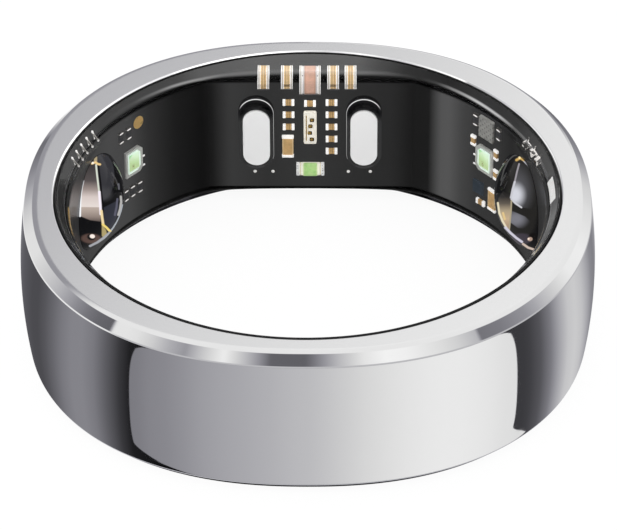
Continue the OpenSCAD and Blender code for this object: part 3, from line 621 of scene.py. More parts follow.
class Box:
    """One closed block of a node: its middle, its turn about the ring's axis, its half-sizes."""

    def __init__(self, points):
        middle = sum(points, Vector()) / len(points)
        on_flat = abs(middle.x) < bpy.context.scene.ring_sizes.flat_half
        self.turn = 0.0 if on_flat else math.atan2(middle.x, middle.y)
        spin = Matrix.Rotation(self.turn, 3, "Z")
        held = [spin @ point for point in points]
        low = Vector(map(min, zip(*held)))
        high = Vector(map(max, zip(*held)))
        self.centre = spin.transposed() @ ((low + high) / 2)
        self.half = (high - low) / 2

    def at(self, place, half):
        """A row for point_mesh: a block at place, in half-sizes from the middle."""
        spin = Matrix.Rotation(-self.turn, 3, "Z")
        offset = Vector(place[i] * self.half[i] for i in range(3))
        size = tuple(half[i] * self.half[i] for i in range(3))
        return (self.centre + spin @ offset, (0.0, 0.0, -self.turn), size)


def islands(node):
    """The closed blocks of a carried-over node, sorted round the ring."""
    source = NODES[node]
    tidy = bmesh.new()
    tidy.from_mesh(source.data)
    tidy.transform(source.matrix_world)
    bmesh.ops.remove_doubles(tidy, verts=tidy.verts, dist=WELD)
    left = set(tidy.verts)
    boxes = []
    while left:
        queue = [left.pop()]
        points = []
        while queue:
            vert = queue.pop()
            points.append(vert.co.copy())
            for edge in vert.link_edges:
                other = edge.other_vert(vert)
                if other in left:
                    left.remove(other)
                    queue.append(other)
        boxes.append(Box(points))
    tidy.free()
    return sorted(boxes, key=lambda box: (round(box.turn, 3), round(box.centre.x, 5)))


def blocks(name, node, made, cells=9, power=22.0, place=(0, 0, 0), share=(1, 1, 1)):
    """A piece of softly rounded blocks, one for each block of the node that it stands for."""
    rows = [box.at(place, share) for box in islands(node)]
    mesh = grown(name, point_mesh(name + " points", rows), chip_tree(),
                 {"Cells": cells, "Edge Power": power}, made)
    return piece_of(name, mesh, made, [node])


# Glass and resin: clear, with painted reflections, sent out as glow, in place of their own
CLEAR = {"ior": 1.5, "transmission_weight": 1.0, "specular_tint": (0.0, 0.0, 0.0, 1.0),
         "emission_strength": 1.0}


class RingSizes(bpy.types.PropertyGroup):
    height: bpy.props.FloatProperty(
        name="Height", description="Height of the ring along the finger",
        default=7.1 * MM, unit="LENGTH", precision=5)
    half_width: bpy.props.FloatProperty(
        name="Half width", description="From the axis to the middle of a side",
        default=12.5 * MM, unit="LENGTH", precision=5)
    squareness: bpy.props.FloatProperty(
        name="Squareness", description="Exponent of the outline's superellipse",
        default=2.2553, min=2.0, max=4.0)
    crown: bpy.props.FloatProperty(
        name="Crown", description="How far the wall swells at mid-height",
        default=0.23 * MM, unit="LENGTH", precision=5)
    bevel: bpy.props.FloatProperty(
        name="Bevel", description="Width and height of the bevels",
        default=0.47 * MM, unit="LENGTH", precision=5)
    lip_radius: bpy.props.FloatProperty(
        name="Lip radius", description="Radius of the lips' inner edge",
        default=10.97 * MM, unit="LENGTH", precision=5)
    bore_radius: bpy.props.FloatProperty(
        name="Bore radius", description="Radius of the liner's round part",
        default=10.3 * MM, unit="LENGTH", precision=5)
    flat: bpy.props.FloatProperty(
        name="Flat", description="From the axis to the flat",
        default=9.2 * MM, unit="LENGTH", precision=5)
    flat_half: bpy.props.FloatProperty(
        name="Half of the flat", description="Half the length of the flat",
        default=3.7 * MM, unit="LENGTH", precision=5)
    rim: bpy.props.FloatProperty(
        name="Rim", description="Height of the liner's sloped rims",
        default=0.68 * MM, unit="LENGTH", precision=5)
    steps: bpy.props.IntProperty(
        name="Steps", description="Divisions round the ring", default=720, min=90, max=1440)


class RingColours(bpy.types.PropertyGroup):
    metal: bpy.props.FloatVectorProperty(
        name="Metal", description="Colour of the polished shell", subtype="COLOR",
        default=(0.985, 0.985, 0.985), min=0, max=1)
    core: bpy.props.FloatVectorProperty(
        name="Core", description="Colour of the potting behind the resin", subtype="COLOR",
        default=(0.004, 0.004, 0.0042), min=0, max=1)
    board: bpy.props.FloatVectorProperty(
        name="Board", description="Colour of the circuit board", subtype="COLOR",
        default=(0.004, 0.004, 0.0042), min=0, max=1)
    pad: bpy.props.FloatVectorProperty(
        name="Pads", description="Colour of the charging pads", subtype="COLOR",
        default=(0.84, 0.84, 0.84), min=0, max=1)
    glow: bpy.props.FloatVectorProperty(
        name="Green", description="Colour of the green windows", subtype="COLOR",
        default=(0.30, 0.62, 0.28), min=0, max=1)


class StudioSettings(bpy.types.PropertyGroup):
    level: bpy.props.FloatProperty(
        name="Level", description="Brightness of the soft light", default=1.5, min=0, max=4)
    camera_place: bpy.props.FloatVectorProperty(
        name="Camera", description="Where the camera stands", subtype="TRANSLATION",
        default=(0.0205 * MM, -141.614 * MM, 104.184 * MM), precision=5)
    yaw: bpy.props.FloatProperty(
        name="Yaw", description="How far the camera is turned about the ring's axis",
        subtype="ANGLE", default=math.radians(0.8))
    roll: bpy.props.FloatProperty(
        name="Roll", description="How far the camera leans to a side",
        subtype="ANGLE", default=-0.00580607, precision=5)
# Painted reflections: what the resin and the board behind it mirror, sent out as glow. The first
# number is where a place stands, in degrees round from the middle of the flat toward +X; the
# second is a level, or the ridge's place on the slope, where the painted highlight line lies.
SLOPE_SHEEN = [(-120, 0.02), (-100, 0.02), (-88, 0.025), (-76, 0.05), (-60, 0.05), (-44, 0.055),
              (-34, 0.06), (-28, 0.1), (-14, 0.12), (12, 0.11), (17, 0.07), (24, 0.03),
              (36, 0.016), (44, 0.03), (60, 0.03), (68, 0.042), (84, 0.04), (92, 0.09),
              (100, 0.15), (120, 0.05)]
SLOPE_RIDGE = [(-52, 0.62), (-44, 0.57), (-36, 0.52), (-28, 0.42), (-20, 0.44), (-10, 0.42),
               (12, 0.42), (20, 0.5), (36, 0.52), (44, 0.48), (52, 0.43), (60, 0.42),
               (76, 0.44)]
SLOPE_HIGHLIGHT_LINE = [(-60, 0.0), (-48, 0.02), (-40, 0.12), (-35, 0.25), (-28, 0.2), (-22, 0.08),
              (-10, 0.06), (14, 0.07), (20, 0.04), (28, 0.0), (33, 0.03), (40, 0.3), (46, 0.55),
              (53, 0.5), (60, 0.1), (68, 0.14), (76, 0.05), (84, 0.0)]
BOARD_SHEEN = [(-120, 0.02), (-84, 0.03), (-70, 0.045), (-58, 0.062), (-51, 0.056), (-44, 0.026),
               (-36, 0.009), (-28, 0.004), (-25.5, 0.008), (-21, 0.04), (-12, 0.03), (0, 0.034),
               (12, 0.027), (21, 0.022), (26, 0.01), (31, 0.01), (34.5, 0.085), (37, 0.09),
               (41, 0.055), (46, 0.035), (54, 0.03), (60, 0.013), (70, 0.03), (90, 0.04),
               (120, 0.03)]

# The studio as polished metal sees it. The first number is where a surface faces, in degrees
# round from the front toward +X; the second is how bright it looks.
WALL_DARK = [(-92, 0.28), (-84, 0.13), (-80, 0.103), (-76, 0.088), (-72, 0.074), (-68, 0.073),
             (-64, 0.097), (-60, 0.14), (-56, 0.197), (-52, 0.237), (-48, 0.24), (-44, 0.2),
             (-40, 0.113), (-36, 0.042), (-33, 0.014), (-25, 0.004), (30, 0.03), (46, 0.045),
             (48, 0.053), (52, 0.092), (56, 0.197), (60, 0.386), (64, 0.558), (68, 0.604),
             (72, 0.54), (76, 0.4), (80, 0.26), (84, 0.22), (88, 0.3), (92, 0.5)]
WALL_PANEL = [(-34, 0.2), (-31, 0.212), (-28, 0.24), (-24, 0.257), (-20, 0.292), (-16, 0.34),
              (-12, 0.375), (-8, 0.406), (-4, 0.444), (0, 0.503), (4, 0.597), (8, 0.68),
              (12, 0.738), (16, 0.784), (20, 0.815), (24, 0.831), (28, 0.831), (32, 0.815),
              (36, 0.791), (40, 0.753), (50, 0.72)]
BEVEL_LEFT = [(-130, 0.9), (-114, 0.9), (-108, 0.386), (-104, 0.156), (-100, 0.181),
              (-96, 0.235), (-92, 0.337), (-88, 0.571), (-84, 0.687), (-80, 0.753),
              (-74, 0.755), (-68, 0.638), (-64, 0.571), (-60, 0.48), (-56, 0.371), (-52, 0.27),
              (-48, 0.19), (-44, 0.141), (-39.5, 0.12), (-38.5, 0.79), (-35, 0.79), (-32, 0.753),
              (-28, 0.624), (-24, 0.44), (-20, 0.314), (-16, 0.591), (-12, 0.855), (-8, 0.497),
              (-4, 0.122), (0, 0.12)]
BEVEL_RIGHT = [(0, 0.12), (4, 0.491), (8, 0.776), (12, 0.905), (16, 0.88), (20, 0.8), (24, 0.73),
               (28, 0.638), (33, 0.48), (34, 0.18), (40, 0.205), (44, 0.25), (48, 0.296),
               (52, 0.392), (56, 0.521), (60, 0.638), (64, 0.753), (68, 0.839), (76, 0.863),
               (84, 0.776), (88, 0.738), (92, 0.638), (96, 0.451), (100, 0.301), (104, 0.235),
               (108, 0.2), (112, 0.159), (117, 0.15), (122, 0.4), (130, 0.6)]


class RING_OT_shell(bpy.types.Operator):
    """Polished metal shell with a crowned wall, bevels and satin rims"""
    bl_idname = "ring.shell"
    bl_label = "Shell"

    def execute(self, context):
        size = context.scene.ring_sizes
        path = self.section(size)
        made = self.polish(size, tuple(context.scene.ring_colours.metal))
        mesh = grown("metal_shell", section_mesh("shell section", path), hoop_tree(),
                     {"Steps": size.steps, "Section Points": len(path), "Reach": size.half_width,
                      "Power": size.squareness, "Flat": size.flat, "Flat Half": size.flat_half,
                      "Blend": 3.5 * MM, "Has Flat": 0.0}, made)
        piece_of("metal_shell", mesh, made, ["outer_shell"])
        return {"FINISHED"}

    def section(self, size):
        """The crowned wall, a bevel, rim and lip at each end, and the groove for the core."""
        high, crown, bevel, lip = size.height, size.crown, size.bevel, size.lip_radius
        half = high / 2
        lip_break, lip_edge, rim_in = 0.06 * MM, 0.11 * MM, 0.2 * MM
        rim_round, wall_round = 0.36 * MM, 0.16 * MM
        groove_z, groove_depth = 0.5 * MM, 0.7 * MM
        swell = half - bevel
        arc = (swell ** 2 + crown ** 2) / (2 * crown)
        wall_steps = 12
        wall = []
        for k in range(1, 2 * wall_steps):
            z = swell * (1 - k / wall_steps)
            wall.append((1, -(arc - math.sqrt(arc ** 2 - z ** 2)), half + z, 0))
        top = [(0, lip, high - lip_break, 0.02 * MM), (0, lip + lip_break, high, 0.02 * MM),
               (0, lip + lip_edge, high, 0), (1, -crown - bevel - rim_in, high, 0),
               (1, -crown - bevel, high, rim_round), (1, -crown, high - bevel, wall_round)]
        low = [(share, add, high - z, radius) for share, add, z, radius in reversed(top)]
        groove = [(0, lip, groove_z, 0), (0, lip + groove_depth, groove_z, 0),
                  (0, lip + groove_depth, high - groove_z, 0), (0, lip, high - groove_z, 0)]
        return rounded(top + wall + low + groove)

    def polish(self, size, metal):
        """Brushed polish on the wall, a blasted satin on the rims and a painted highlight line on
        the lip.
        """
        high, lip = size.height, size.lip_radius
        half = high / 2

        def recipe(plan):
            coords = place_of(plan)
            x, y, z = plan.parts(coords)
            rim = abs(z - half) > half - 0.004 * MM
            turned = plan.join(x * 0.2, y * 0.2, z * 4.0)
            haze = plan.noise(900.0, 4.0, coords, 0.6)
            brushed = plan.noise(2400.0, 2.0, turned)
            blast = plan.noise(26000.0, 2.0, coords)
            rough = (plan.ease(brushed, 0.3, 0.75, 0.02, 0.045) * (1 - rim)
                     + plan.ease(blast, 0.2, 0.8, 0.13, 0.18) * rim)
            # A painted highlight along the top of the lip's inner edge, toward the back and
            # strongest on the left, sent out as glow
            edge = (plan.ease((x * x + y * y).of("SQRT"), lip + 0.07 * MM, lip + 0.045 * MM)
                    * (z > high - 0.09 * MM) * plan.ease(y, -1.0 * MM, 2.0 * MM)
                    * plan.ease(x, -1.0 * MM, 3.0 * MM, 0.75, 0.3))
            return {"base": plan.blend(haze, darker(metal, 0.985), metal), "rough": rough,
                    "glow": plan.grey(edge),
                    "bump": bump_of(plan, blast * rim + brushed * 0.02, 0.0002 * MM, 0.5)}

        return material("polished shell metal", recipe, 1.0, emission_strength=1.0)


def upright_boxes():
    """The two end blocks of each upright part behind the upper rim, from left to right."""
    pairs = []
    for node in ("rim_capacitor_ends", "rim_coil_ends"):
        boxes = islands(node)
        pairs += zip(boxes[::2], boxes[1::2])
    return pairs


class RING_OT_liner(bpy.types.Operator):
    """Clear resin liner, moulded against the core and the board"""
    bl_idname = "ring.liner"
    bl_label = "Liner"

    def execute(self, context):
        size = context.scene.ring_sizes
        high, rim = size.height, size.rim
        bore, flat, half = size.bore_radius, size.flat, size.flat_half
        land_drop, land_in, land_wide = 0.05 * MM, 0.17 * MM, 0.09 * MM
        # How far the core lies below the rim, and how thick the resin is over the board
        core_depth, over_board = 0.735 * MM, 0.4 * MM
        land, rise, core_z = size.lip_radius - land_in, rim - land_drop, high - core_depth

        # The slope starts round at the face and is straight past this share of its run
        fold, fold_steps = 0.25, 8
        climbs = []
        for k in range(fold_steps + 1):
            s = 2 * fold * k / fold_steps
            climbs.append((s * s, s - fold))
        climbs += [(share, share) for share in (0.3, 0.65, 0.95)]
        slope = [(1 - part, land * part, high - rim + rise * climb) for part, climb in climbs]
        top = slope + [(0, land, high - land_drop), (0, land + land_wide, high - land_drop),
                       (0, land + land_wide, core_z), (-1, 0, core_z)]
        low = [(share, add, high - z) for share, add, z in reversed(top)]
        face = [(1, 0, rim + (high - 2 * rim) * k / 8) for k in range(2, 7)]
        path = top + low + face
        blend = (bore ** 2 - flat ** 2 - half ** 2) / (2 * (bore - flat))

        made = self.resin(size, land, rise, core_z)
        mesh = grown("resin_liner", section_mesh("liner section", path), hoop_tree(),
                     {"Steps": size.steps, "Section Points": len(path), "Reach": bore,
                      "Power": 2.0, "Flat": flat, "Flat Half": half, "Blend": blend,
                      "Has Flat": 1.0, "Back Reach": bore + over_board,
                      "Back Flat": flat + over_board}, made)
        self.add_tongues(mesh, flat + over_board - 0.01 * MM, core_z + 0.006 * MM)
        piece_of("resin_liner", mesh, made, ["inner_liner"])
        return {"FINISHED"}

    def resin(self, size, land, rise, core_z):
        """Clear resin: a painted sheen and a painted highlight line on its slope, and open windows
        before the upright parts.
        """
        high, rim, flat = size.height, size.rim, size.flat
        uprights = []
        for first, last in upright_boxes():
            low, top = first.centre.x - first.half.x, last.centre.x + last.half.x
            uprights.append(((low + top) / 2, (top - low) / 2))

        def recipe(plan):
            coords = place_of(plan)
            drift = plan.noise(350.0, 3.0, coords)
            x, y, z = plan.parts(coords)
            turn = turn_of(x, y)
            climb = (z - (high - rim)) / rise
            out = (x * x + y * y).of("SQRT")
            on_slope = (climb > 0.02) * (out < land + 0.01 * MM)
            # Painted sheen on the upper slope and a painted highlight line along its ridge, sent
            # out as glow
            painted_slope_sheen = plan.vector("MULTIPLY", plan.band(turn, SLOPE_SHEEN),
                               plan.grey(plan.ease(climb, 0.3, 0.5) * on_slope))
            ridge = plan.parts(plan.band(turn, SLOPE_RIDGE))[0]
            thin = plan.vector("MULTIPLY", plan.band(turn, SLOPE_HIGHLIGHT_LINE), plan.grey(
                plan.ease(abs(climb - ridge), 0.13, 0.0) * on_slope))
            before = None
            for middle, half_wide in uprights:
                window = plan.ease(abs(x - middle), half_wide + 0.03 * MM, half_wide)
                before = window if before is None else before + window
            fold = plan.ease(y, flat + 0.47 * MM, flat + 0.42 * MM) * (climb > -0.02)
            seam = (z > core_z - 0.004 * MM) * (z < core_z + 0.01 * MM)
            flank = plan.ease(abs(x), 9.6 * MM, 9.9 * MM) * (climb < -0.02)
            return {"base": plan.blend(drift, (0.93, 0.93, 0.95), (0.97, 0.97, 0.97)),
                    "rough": plan.ease(drift, *GRAIN, 0.0, 0.03) + flank * 0.3,
                    "glow": plan.vector("ADD", painted_slope_sheen, thin),
                    "clear": before * fold.of("MAXIMUM", seam) * (y > 0.0)}

        return material("clear liner resin", recipe, **CLEAR)

    def add_tongues(self, mesh, front, top):
        """Resin that fills the slots in front of the upright parts under the upper rim."""
        whole = bmesh.new()
        whole.from_mesh(mesh)
        for left, right in upright_boxes():
            low, high = left.centre.x - left.half.x, right.centre.x + right.half.x
            back = left.centre.y - left.half.y + 0.02 * MM
            base = left.centre.z - left.half.z
            for vert in bmesh.ops.create_cube(whole, size=1.0)["verts"]:
                vert.co = Vector(((low + high) / 2 + vert.co.x * (high - low),
                                  (front + back) / 2 + vert.co.y * (back - front),
                                  (base + top) / 2 + vert.co.z * (top - base)))
        whole.to_mesh(mesh)
        whole.free()


class RING_OT_core(bpy.types.Operator):
    """Black core, circuit board and the parts sealed behind them"""
    bl_idname = "ring.core"
    bl_label = "Core and board"

    def execute(self, context):
        colours = context.scene.ring_colours
        core, board = tuple(colours.core), tuple(colours.board)
        high = context.scene.ring_sizes.height

        def potting(plan, grain):
            x, y, z = plan.parts(place_of(plan))
            out = (x * x + y * y).of("SQRT")
            # A painted lighter grey on the ledge near the top, that the slope shows as part of its
            # sheen
            ledge_sheen = (z > high - 0.74 * MM) * plan.ease(out, 9.8 * MM, 10.4 * MM) * 0.006
            shade = plan.blend(grain, core, darker(core, 1.5))
            return {"base": plan.vector("ADD", shade, plan.grey(ledge_sheen)),
                    "bump": bump_of(plan, grain, 0.0008 * MM)}

        def mask(plan, weave):
            x, y, z = plan.parts(place_of(plan))
            # The resin's reflection, painted on the board as a glow that follows the turn round
            # the ring and fades out at its foot and top
            tall = plan.ease(z, 0.6 * MM, 0.85 * MM) * plan.ease(z, 6.36 * MM, 6.25 * MM)
            sheen = plan.vector("MULTIPLY", plan.band(turn_of(x, y), BOARD_SHEEN),
                                plan.grey(tall))
            return {"base": plan.blend(weave, board, darker(board, 1.6)),
                    "bump": bump_of(plan, weave, 0.001 * MM), "glow": sheen}

        foil = mottled((0.56, 0.57, 0.6), 0.08, 700.0, 0.35, 0.1, 0.01 * MM)
        bare = mottled((0.72, 0.72, 0.74), 0.06, 1500.0, 0.3, 0.08)
        black = mottled((0.03, 0.03, 0.032), 0.15, 2000.0, 0.45, 0.08, 0.003 * MM)
        dress("core_ring", grained("black potting", (0.3, 0.45), potting,
                                   specular_ior_level=0.06))
        dress("circuit_board", grained("black solder mask", (0.34, 0.5), mask, 2600.0,
                                       specular_ior_level=0.06, emission_strength=1.0))
        dress("battery_cell", material("pouch foil", foil, 1.0))
        dress("battery_tabs", material("tab metal", bare, 1.0))
        moulded = material("moulded chip body", black)
        dress("processor_chip", moulded)
        dress("power_chip", moulded)
        return {"FINISHED"}


class RING_OT_pads(bpy.types.Operator):
    """Matte charging pads in their glossy bezels"""
    bl_idname = "ring.pads"
    bl_label = "Charging pads"

    def execute(self, context):
        shade = tuple(context.scene.ring_colours.pad)

        def satin(plan, grain):
            return {"base": plan.blend(grain, darker(shade, 0.95), shade),
                    "bump": bump_of(plan, grain, 0.001 * MM)}

        # The plating glows a little white as painted light
        plate = grained("matte pad plating", (0.45, 0.55), satin, 14000.0, 2.0, 0.15,
                        emission_color=(1.0, 1.0, 1.0, 1.0), emission_strength=0.15)
        for side in ("left", "right"):
            dress("contact_pad_" + side, plate)
            self.bezel(side)
        return {"FINISHED"}

    def bezel(self, side):
        """A glossy frame whose crest stands a little proud of the resin, with a painted highlight
        on its crest and a painted sheen on its lower part.
        """
        box = islands("pad_bezel_" + side)[0]
        pad = islands("contact_pad_" + side)[0]
        deep = 2 * box.half.y
        front = box.centre.y - box.half.y
        inner, outer = pad.half.x + 0.01 * MM, box.half.x
        # Share of the way out, depth behind the crest, share of the painted highlight
        section = [(0, deep, 0), (0, 0.1 * MM, 0), (0.25, 0.07 * MM, 0), (0.6, 0.03 * MM, 0),
                   (0.84, 0.006 * MM, 0), (0.875, 0.001 * MM, 1), (0.9, 0, 1),
                   (0.935, 0.003 * MM, 0), (0.985, 0.015 * MM, 0), (1, 0.04 * MM, 0),
                   (1, deep, 0)]
        steps, count = 192, len(section)
        points, gleam = [], []
        for k in range(steps):
            way = 2 * math.pi * k / steps
            x, z = math.cos(way), math.sin(way)
            end = 1 if z > 0 else -1
            near = Vector((inner * x, 0, inner * z + end * (pad.half.z - pad.half.x)))
            far = Vector((outer * x, 0, outer * z + end * (box.half.z - outer)
                          + box.centre.z - pad.centre.z))
            # Where the painted highlight falls: along the top, and down the side toward the ring's
            # middle
            inner_side = max(0.0, -x if side == "right" else x)
            shine = max(0.0, min(1.0, (z - 0.3) / 0.3), 0.45 * inner_side * (z + 0.35 > 0),
                        0.75 * inner_side * (z > 0))
            for share, depth, light in section:
                middle = Vector((box.centre.x, front + depth, pad.centre.z))
                points.append(near.lerp(far, share) + middle)
                gleam.append(light * shine)
        faces = [(k * count + i, (k + 1) % steps * count + i,
                  (k + 1) % steps * count + (i + 1) % count, k * count + (i + 1) % count)
                 for k in range(steps) for i in range(count)]

        def gloss(plan, smear):
            # The painted highlight from the mesh and a painted sheen below the pad's top, sent out
            # as glow
            light = Term(plan, plan.node("ShaderNodeAttribute",
                                         {"attribute_name": "gleam"}).outputs["Fac"])
            top = pad.centre.z + pad.half.z
            z = plan.parts(place_of(plan))[2]
            sheen = plan.ease(z, top - 0.1 * MM, top - 0.7 * MM) * 0.026
            return {"base": plan.blend(smear, (0.004, 0.004, 0.005), (0.009, 0.009, 0.01)),
                    "glow": plan.grey(light + sheen)}

        name = "glossy_bezel_" + side
        made = grained("black bezel gloss", (0.06, 0.12), gloss, 1200.0, emission_strength=1.0)
        mesh = mesh_from(points, faces, name, values={"gleam": gleam})
        piece_of(name, mesh, made, ["pad_bezel_" + side])


class RING_OT_domes(bpy.types.Operator):
    """Glass sensor domes with their dies and bond wires"""
    bl_idname = "ring.domes"
    bl_label = "Lens domes"

    def execute(self, context):
        bore = context.scene.ring_sizes.bore_radius
        # Radius of the domes' foot and their height over the bore
        foot, rise = 2.26 * MM, 1.15 * MM
        ball = (foot ** 2 + rise ** 2) / (2 * rise)
        centre = bore - rise + ball
        points, faces = self.cap(bore + 0.012 * MM, ball, centre)
        shade = (0.83, 0.6, 0.25)
        gold = material("bond gold", mottled(shade, 0.08, 3000.0, 0.25, 0.08), 1.0)
        for side, sign, picture in (("left", -1, left_picture), ("right", 1, right_picture)):
            turn = Matrix.Rotation(-sign * math.radians(DOME_TURN), 4, "Z")
            name = "glass_dome_" + side
            mesh = mesh_from([turn @ point for point in points], faces, name)
            made = self.glass("dome glass " + side, picture, bore, centre)
            piece_of(name, mesh, made, ["lens_dome_" + side])
            dress("light_sensor_" + side,
                  material("sensor die " + side, mottled((0.05, 0.035, 0.03), 0.3, 3000.0, 0.25),
                           specular_ior_level=0.06))
            dress("bond_wires_" + side, gold)
        return {"FINISHED"}

    def cap(self, back, ball, centre):
        """A cap of a ball that stands on the round wall behind it, as if on the flat."""
        rings, spokes = 28, 96
        points = []
        for layer in (0, 1):
            for i in range(rings + 1):
                for k in range(spokes):
                    way = 2 * math.pi * k / spokes
                    u, w = math.cos(way), math.sin(way)
                    r = self.reach(u, back, ball, centre) * math.sin(math.pi / 2 * i / rings)
                    depth = (centre - math.sqrt(ball ** 2 - r ** 2) if layer == 0
                             else math.sqrt(back ** 2 - (r * u) ** 2))
                    points.append(Vector((r * u, depth, r * w + DOME_HEIGHT)))
        faces = []
        for layer in (0, 1):
            for i in range(rings):
                for k in range(spokes):
                    a = (layer * (rings + 1) + i) * spokes
                    b, j = a + spokes, (k + 1) % spokes
                    faces.append((a + k, a + j, b + j, b + k))
        return points, faces

    def reach(self, u, back, ball, centre):
        """How far out the ball meets the wall, found by halving."""
        low, top = 0.0, ball
        for _ in range(40):
            mid = (low + top) / 2
            inside = (centre - math.sqrt(max(0.0, ball ** 2 - mid ** 2))
                      < math.sqrt(back ** 2 - (mid * u) ** 2))
            low, top = (mid, top) if inside else (low, mid)
        return low

    def glass(self, name, picture, bore, centre):
        """Dark glass that sends out the painted picture of reflections and highlights as glow, on
        the side that faces the ring's front.
        """
        def recipe(plan):
            x, y, z = plan.parts(place_of(plan))
            haze = plan.noise(500.0, 2.0, place_of(plan))
            proud = plan.ease((x * x + y * y).of("SQRT"), bore, bore - 0.03 * MM)
            middle = centre * math.cos(math.radians(DOME_TURN))
            near = ((z - DOME_HEIGHT) * math.sin(CAMERA_TILT)
                    - (y - middle) * math.cos(CAMERA_TILT))
            front = proud * plan.ease(near, 0.0, 0.06 * MM)
            return {"base": plan.blend(haze, (0.002, 0.002, 0.002), (0.005, 0.005, 0.005)),
                    "rough": plan.ease(haze, *GRAIN, 0.0, 0.02),
                    "glow": plan.vector("MULTIPLY", picture(plan).shade, plan.grey(front))}

        return material(name, recipe, **CLEAR)


PALE_TIN = (0.95, 0.94, 0.92)
TAN, TAN_LINE = (0.62, 0.41, 0.19), (0.2, 0.11, 0.04)


def tinned_ends(name):
    """Pale tinned ends with a darker edge beside the body, glowing pale as painted light."""
    def tone(plan, grain):
        x = plan.parts(local_of(plan))[0]
        pale = plan.blend(plan.ease(grain, 0.35, 0.65), darker(PALE_TIN, 0.9), PALE_TIN)
        edge = plan.ease(abs(x), 0.8, 1.0) * 0.45
        return {"base": plan.blend(edge, pale, (0.3, 0.29, 0.28)), "glow": pale}
    return grained(name, (0.25, 0.45), tone, emission_strength=0.75, specular_ior_level=0.3)


def upright_ends():
    """Pale ends with painted highlights along their edges and a painted dark reflection in their
    middle, glowing in that colour as painted light.
    """
    def tone(plan, grain):
        x = plan.parts(local_of(plan))[0]
        return plan.blend(plan.ease(abs(x), 0.35, 0.65), (0.42, 0.39, 0.34), PALE_TIN)
    return grained("upright tin plating", (0.25, 0.45), tone, emission_strength=0.6,
                   specular_ior_level=0.3)


def ticked_ends():
    """Small bright solder ticks on dark ends, glowing in their colour as painted light."""
    def tone(plan, grain):
        x, _, z = plan.parts(local_of(plan))
        bright = plan.ease((x * x * 0.8 + z * z * 1.8).of("SQRT"), 1.0, 0.65)
        return plan.blend(bright, (0.045, 0.043, 0.04), (0.93, 0.9, 0.87))
    return grained("resistor ticks", (0.2, 0.4), tone, emission_strength=0.6,
                   specular_ior_level=0.2)


def ceramic(name, shade, dark, stripes, axis=0, width=0.12, glow=0.45, half=1.1):
    """Fired ceramic with faint darker lines across it, and pale past half; it glows in its colour
    as painted light, as strong as glow.
    """
    def recipe(plan):
        local = plan.parts(local_of(plan))
        grain = plan.noise(5000.0, 4.0, place_of(plan), 0.6)
        tone = plan.blend(plan.ease(grain, *GRAIN), darker(shade, 0.86), shade)
        tone = plan.blend(lines(plan, local[axis], stripes, width) * 0.8, tone, dark)
        tone = plan.blend(plan.ease(abs(local[0]), half, half + 0.06), tone, (0.6, 0.57, 0.55))
        return {"base": tone, "rough": plan.ease(grain, *GRAIN, 0.3, 0.45),
                "bump": bump_of(plan, grain, 0.002 * MM), "glow": tone}
    return material(name, recipe, specular_ior_level=0.2, emission_strength=glow)


class RING_OT_emitters(bpy.types.Operator):
    """Green emitter packages, their leads and the lamp"""
    bl_idname = "ring.emitters"
    bl_label = "Green lights"

    def execute(self, context):
        glow = tuple(context.scene.ring_colours.glow)

        def pale(plan, grain):
            return {"base": plan.blend(grain, (0.62, 0.63, 0.6), (0.8, 0.8, 0.76)),
                    "bump": bump_of(plan, grain, 0.002 * MM)}

        def lit(plan, grain):
            x, _, z = plan.parts(local_of(plan))
            # Painted light: the window is lighter toward its top and its edges, and its whole tone
            # glows
            edge = plan.ease(abs(x).of("MAXIMUM", abs(z)), 0.72, 0.95)
            upper = plan.ease(z + x * 0.3, -0.4, 0.9)
            tone = plan.blend(upper, (0.5, 0.64, 0.34), (0.72, 0.9, 0.68))
            tone = plan.blend(plan.ease(z - x * 0.5, 0.75, 1.1), tone, glow)
            tone = plan.blend(edge, tone, (0.8, 0.95, 0.86))
            mark = (plan.ease(abs(x + 0.15), 0.22, 0.12) * plan.ease(abs(z + 0.45), 0.3, 0.2)
                    * plan.ease(plan.noise(24000.0, 1.0, place_of(plan)), 0.45, 0.6))
            return plan.blend(mark * 0.75, tone, (0.22, 0.2, 0.05))

        # The package glows a little pale as painted light
        body = grained("emitter package", (0.3, 0.45), pale, 2500.0, specular_ior_level=0.2,
                       emission_color=(0.8, 0.8, 0.78, 1.0), emission_strength=0.12)
        window = grained("green window", (0.12, 0.25), lit, 7000.0, 2.0, emission_strength=0.6,
                         specular_ior_level=0.3)
        for side in ("left", "right"):
            dress("emitter_body_" + side, body)
            blocks("green_window_" + side, "emitter_window_" + side, window, 13, 8.0)
        blocks("emitter_lead_set", "emitter_leads", tinned_ends("tinned lead"))
        self.lamp()
        return {"FINISHED"}

    def lamp(self):
        def leaf(plan, grain):
            x = plan.parts(local_of(plan))[0]
            tone = plan.blend(plan.ease(grain, *GRAIN), (0.42, 0.66, 0.25), (0.52, 0.76, 0.33))
            side = plan.ease(abs(x), 0.78, 0.95)
            return {"base": plan.blend(side, tone, (0.8, 0.8, 0.62)), "glow": tone}

        def ticked(plan, grain):
            x, _, z = plan.parts(local_of(plan))
            row = lines(plan, z, (-0.62, -0.2, 0.2, 0.62), 0.16) * plan.ease(abs(x), 0.5, 0.2)
            tone = plan.blend(plan.ease(grain, 0.3, 0.6), (0.7, 0.7, 0.7), (0.95, 0.95, 0.95))
            return {"base": plan.blend(row * 0.9, tone, (0.04, 0.04, 0.04)), "glow": tone}

        # The lamp's window, body and ends glow in their colours as painted light
        window = grained("lamp window", (0.2, 0.35), leaf, 5000.0, emission_strength=0.5,
                         specular_ior_level=0.3)
        cream = ceramic("cream lamp body", (0.93, 0.9, 0.78), (0.5, 0.45, 0.35),
                        (-0.97, 0.97), 0, 0.08, 0.6)
        silver = grained("ticked lamp end", (0.25, 0.4), ticked, emission_strength=0.5,
                         specular_ior_level=0.3)
        blocks("lamp_green_window", "lamp_window", window)
        blocks("lamp_cream_body", "lamp_body", cream, place=(0, 0.2, 0), share=(0.999, 0.8, 0.96))
        blocks("lamp_end_set", "lamp_ends", silver)


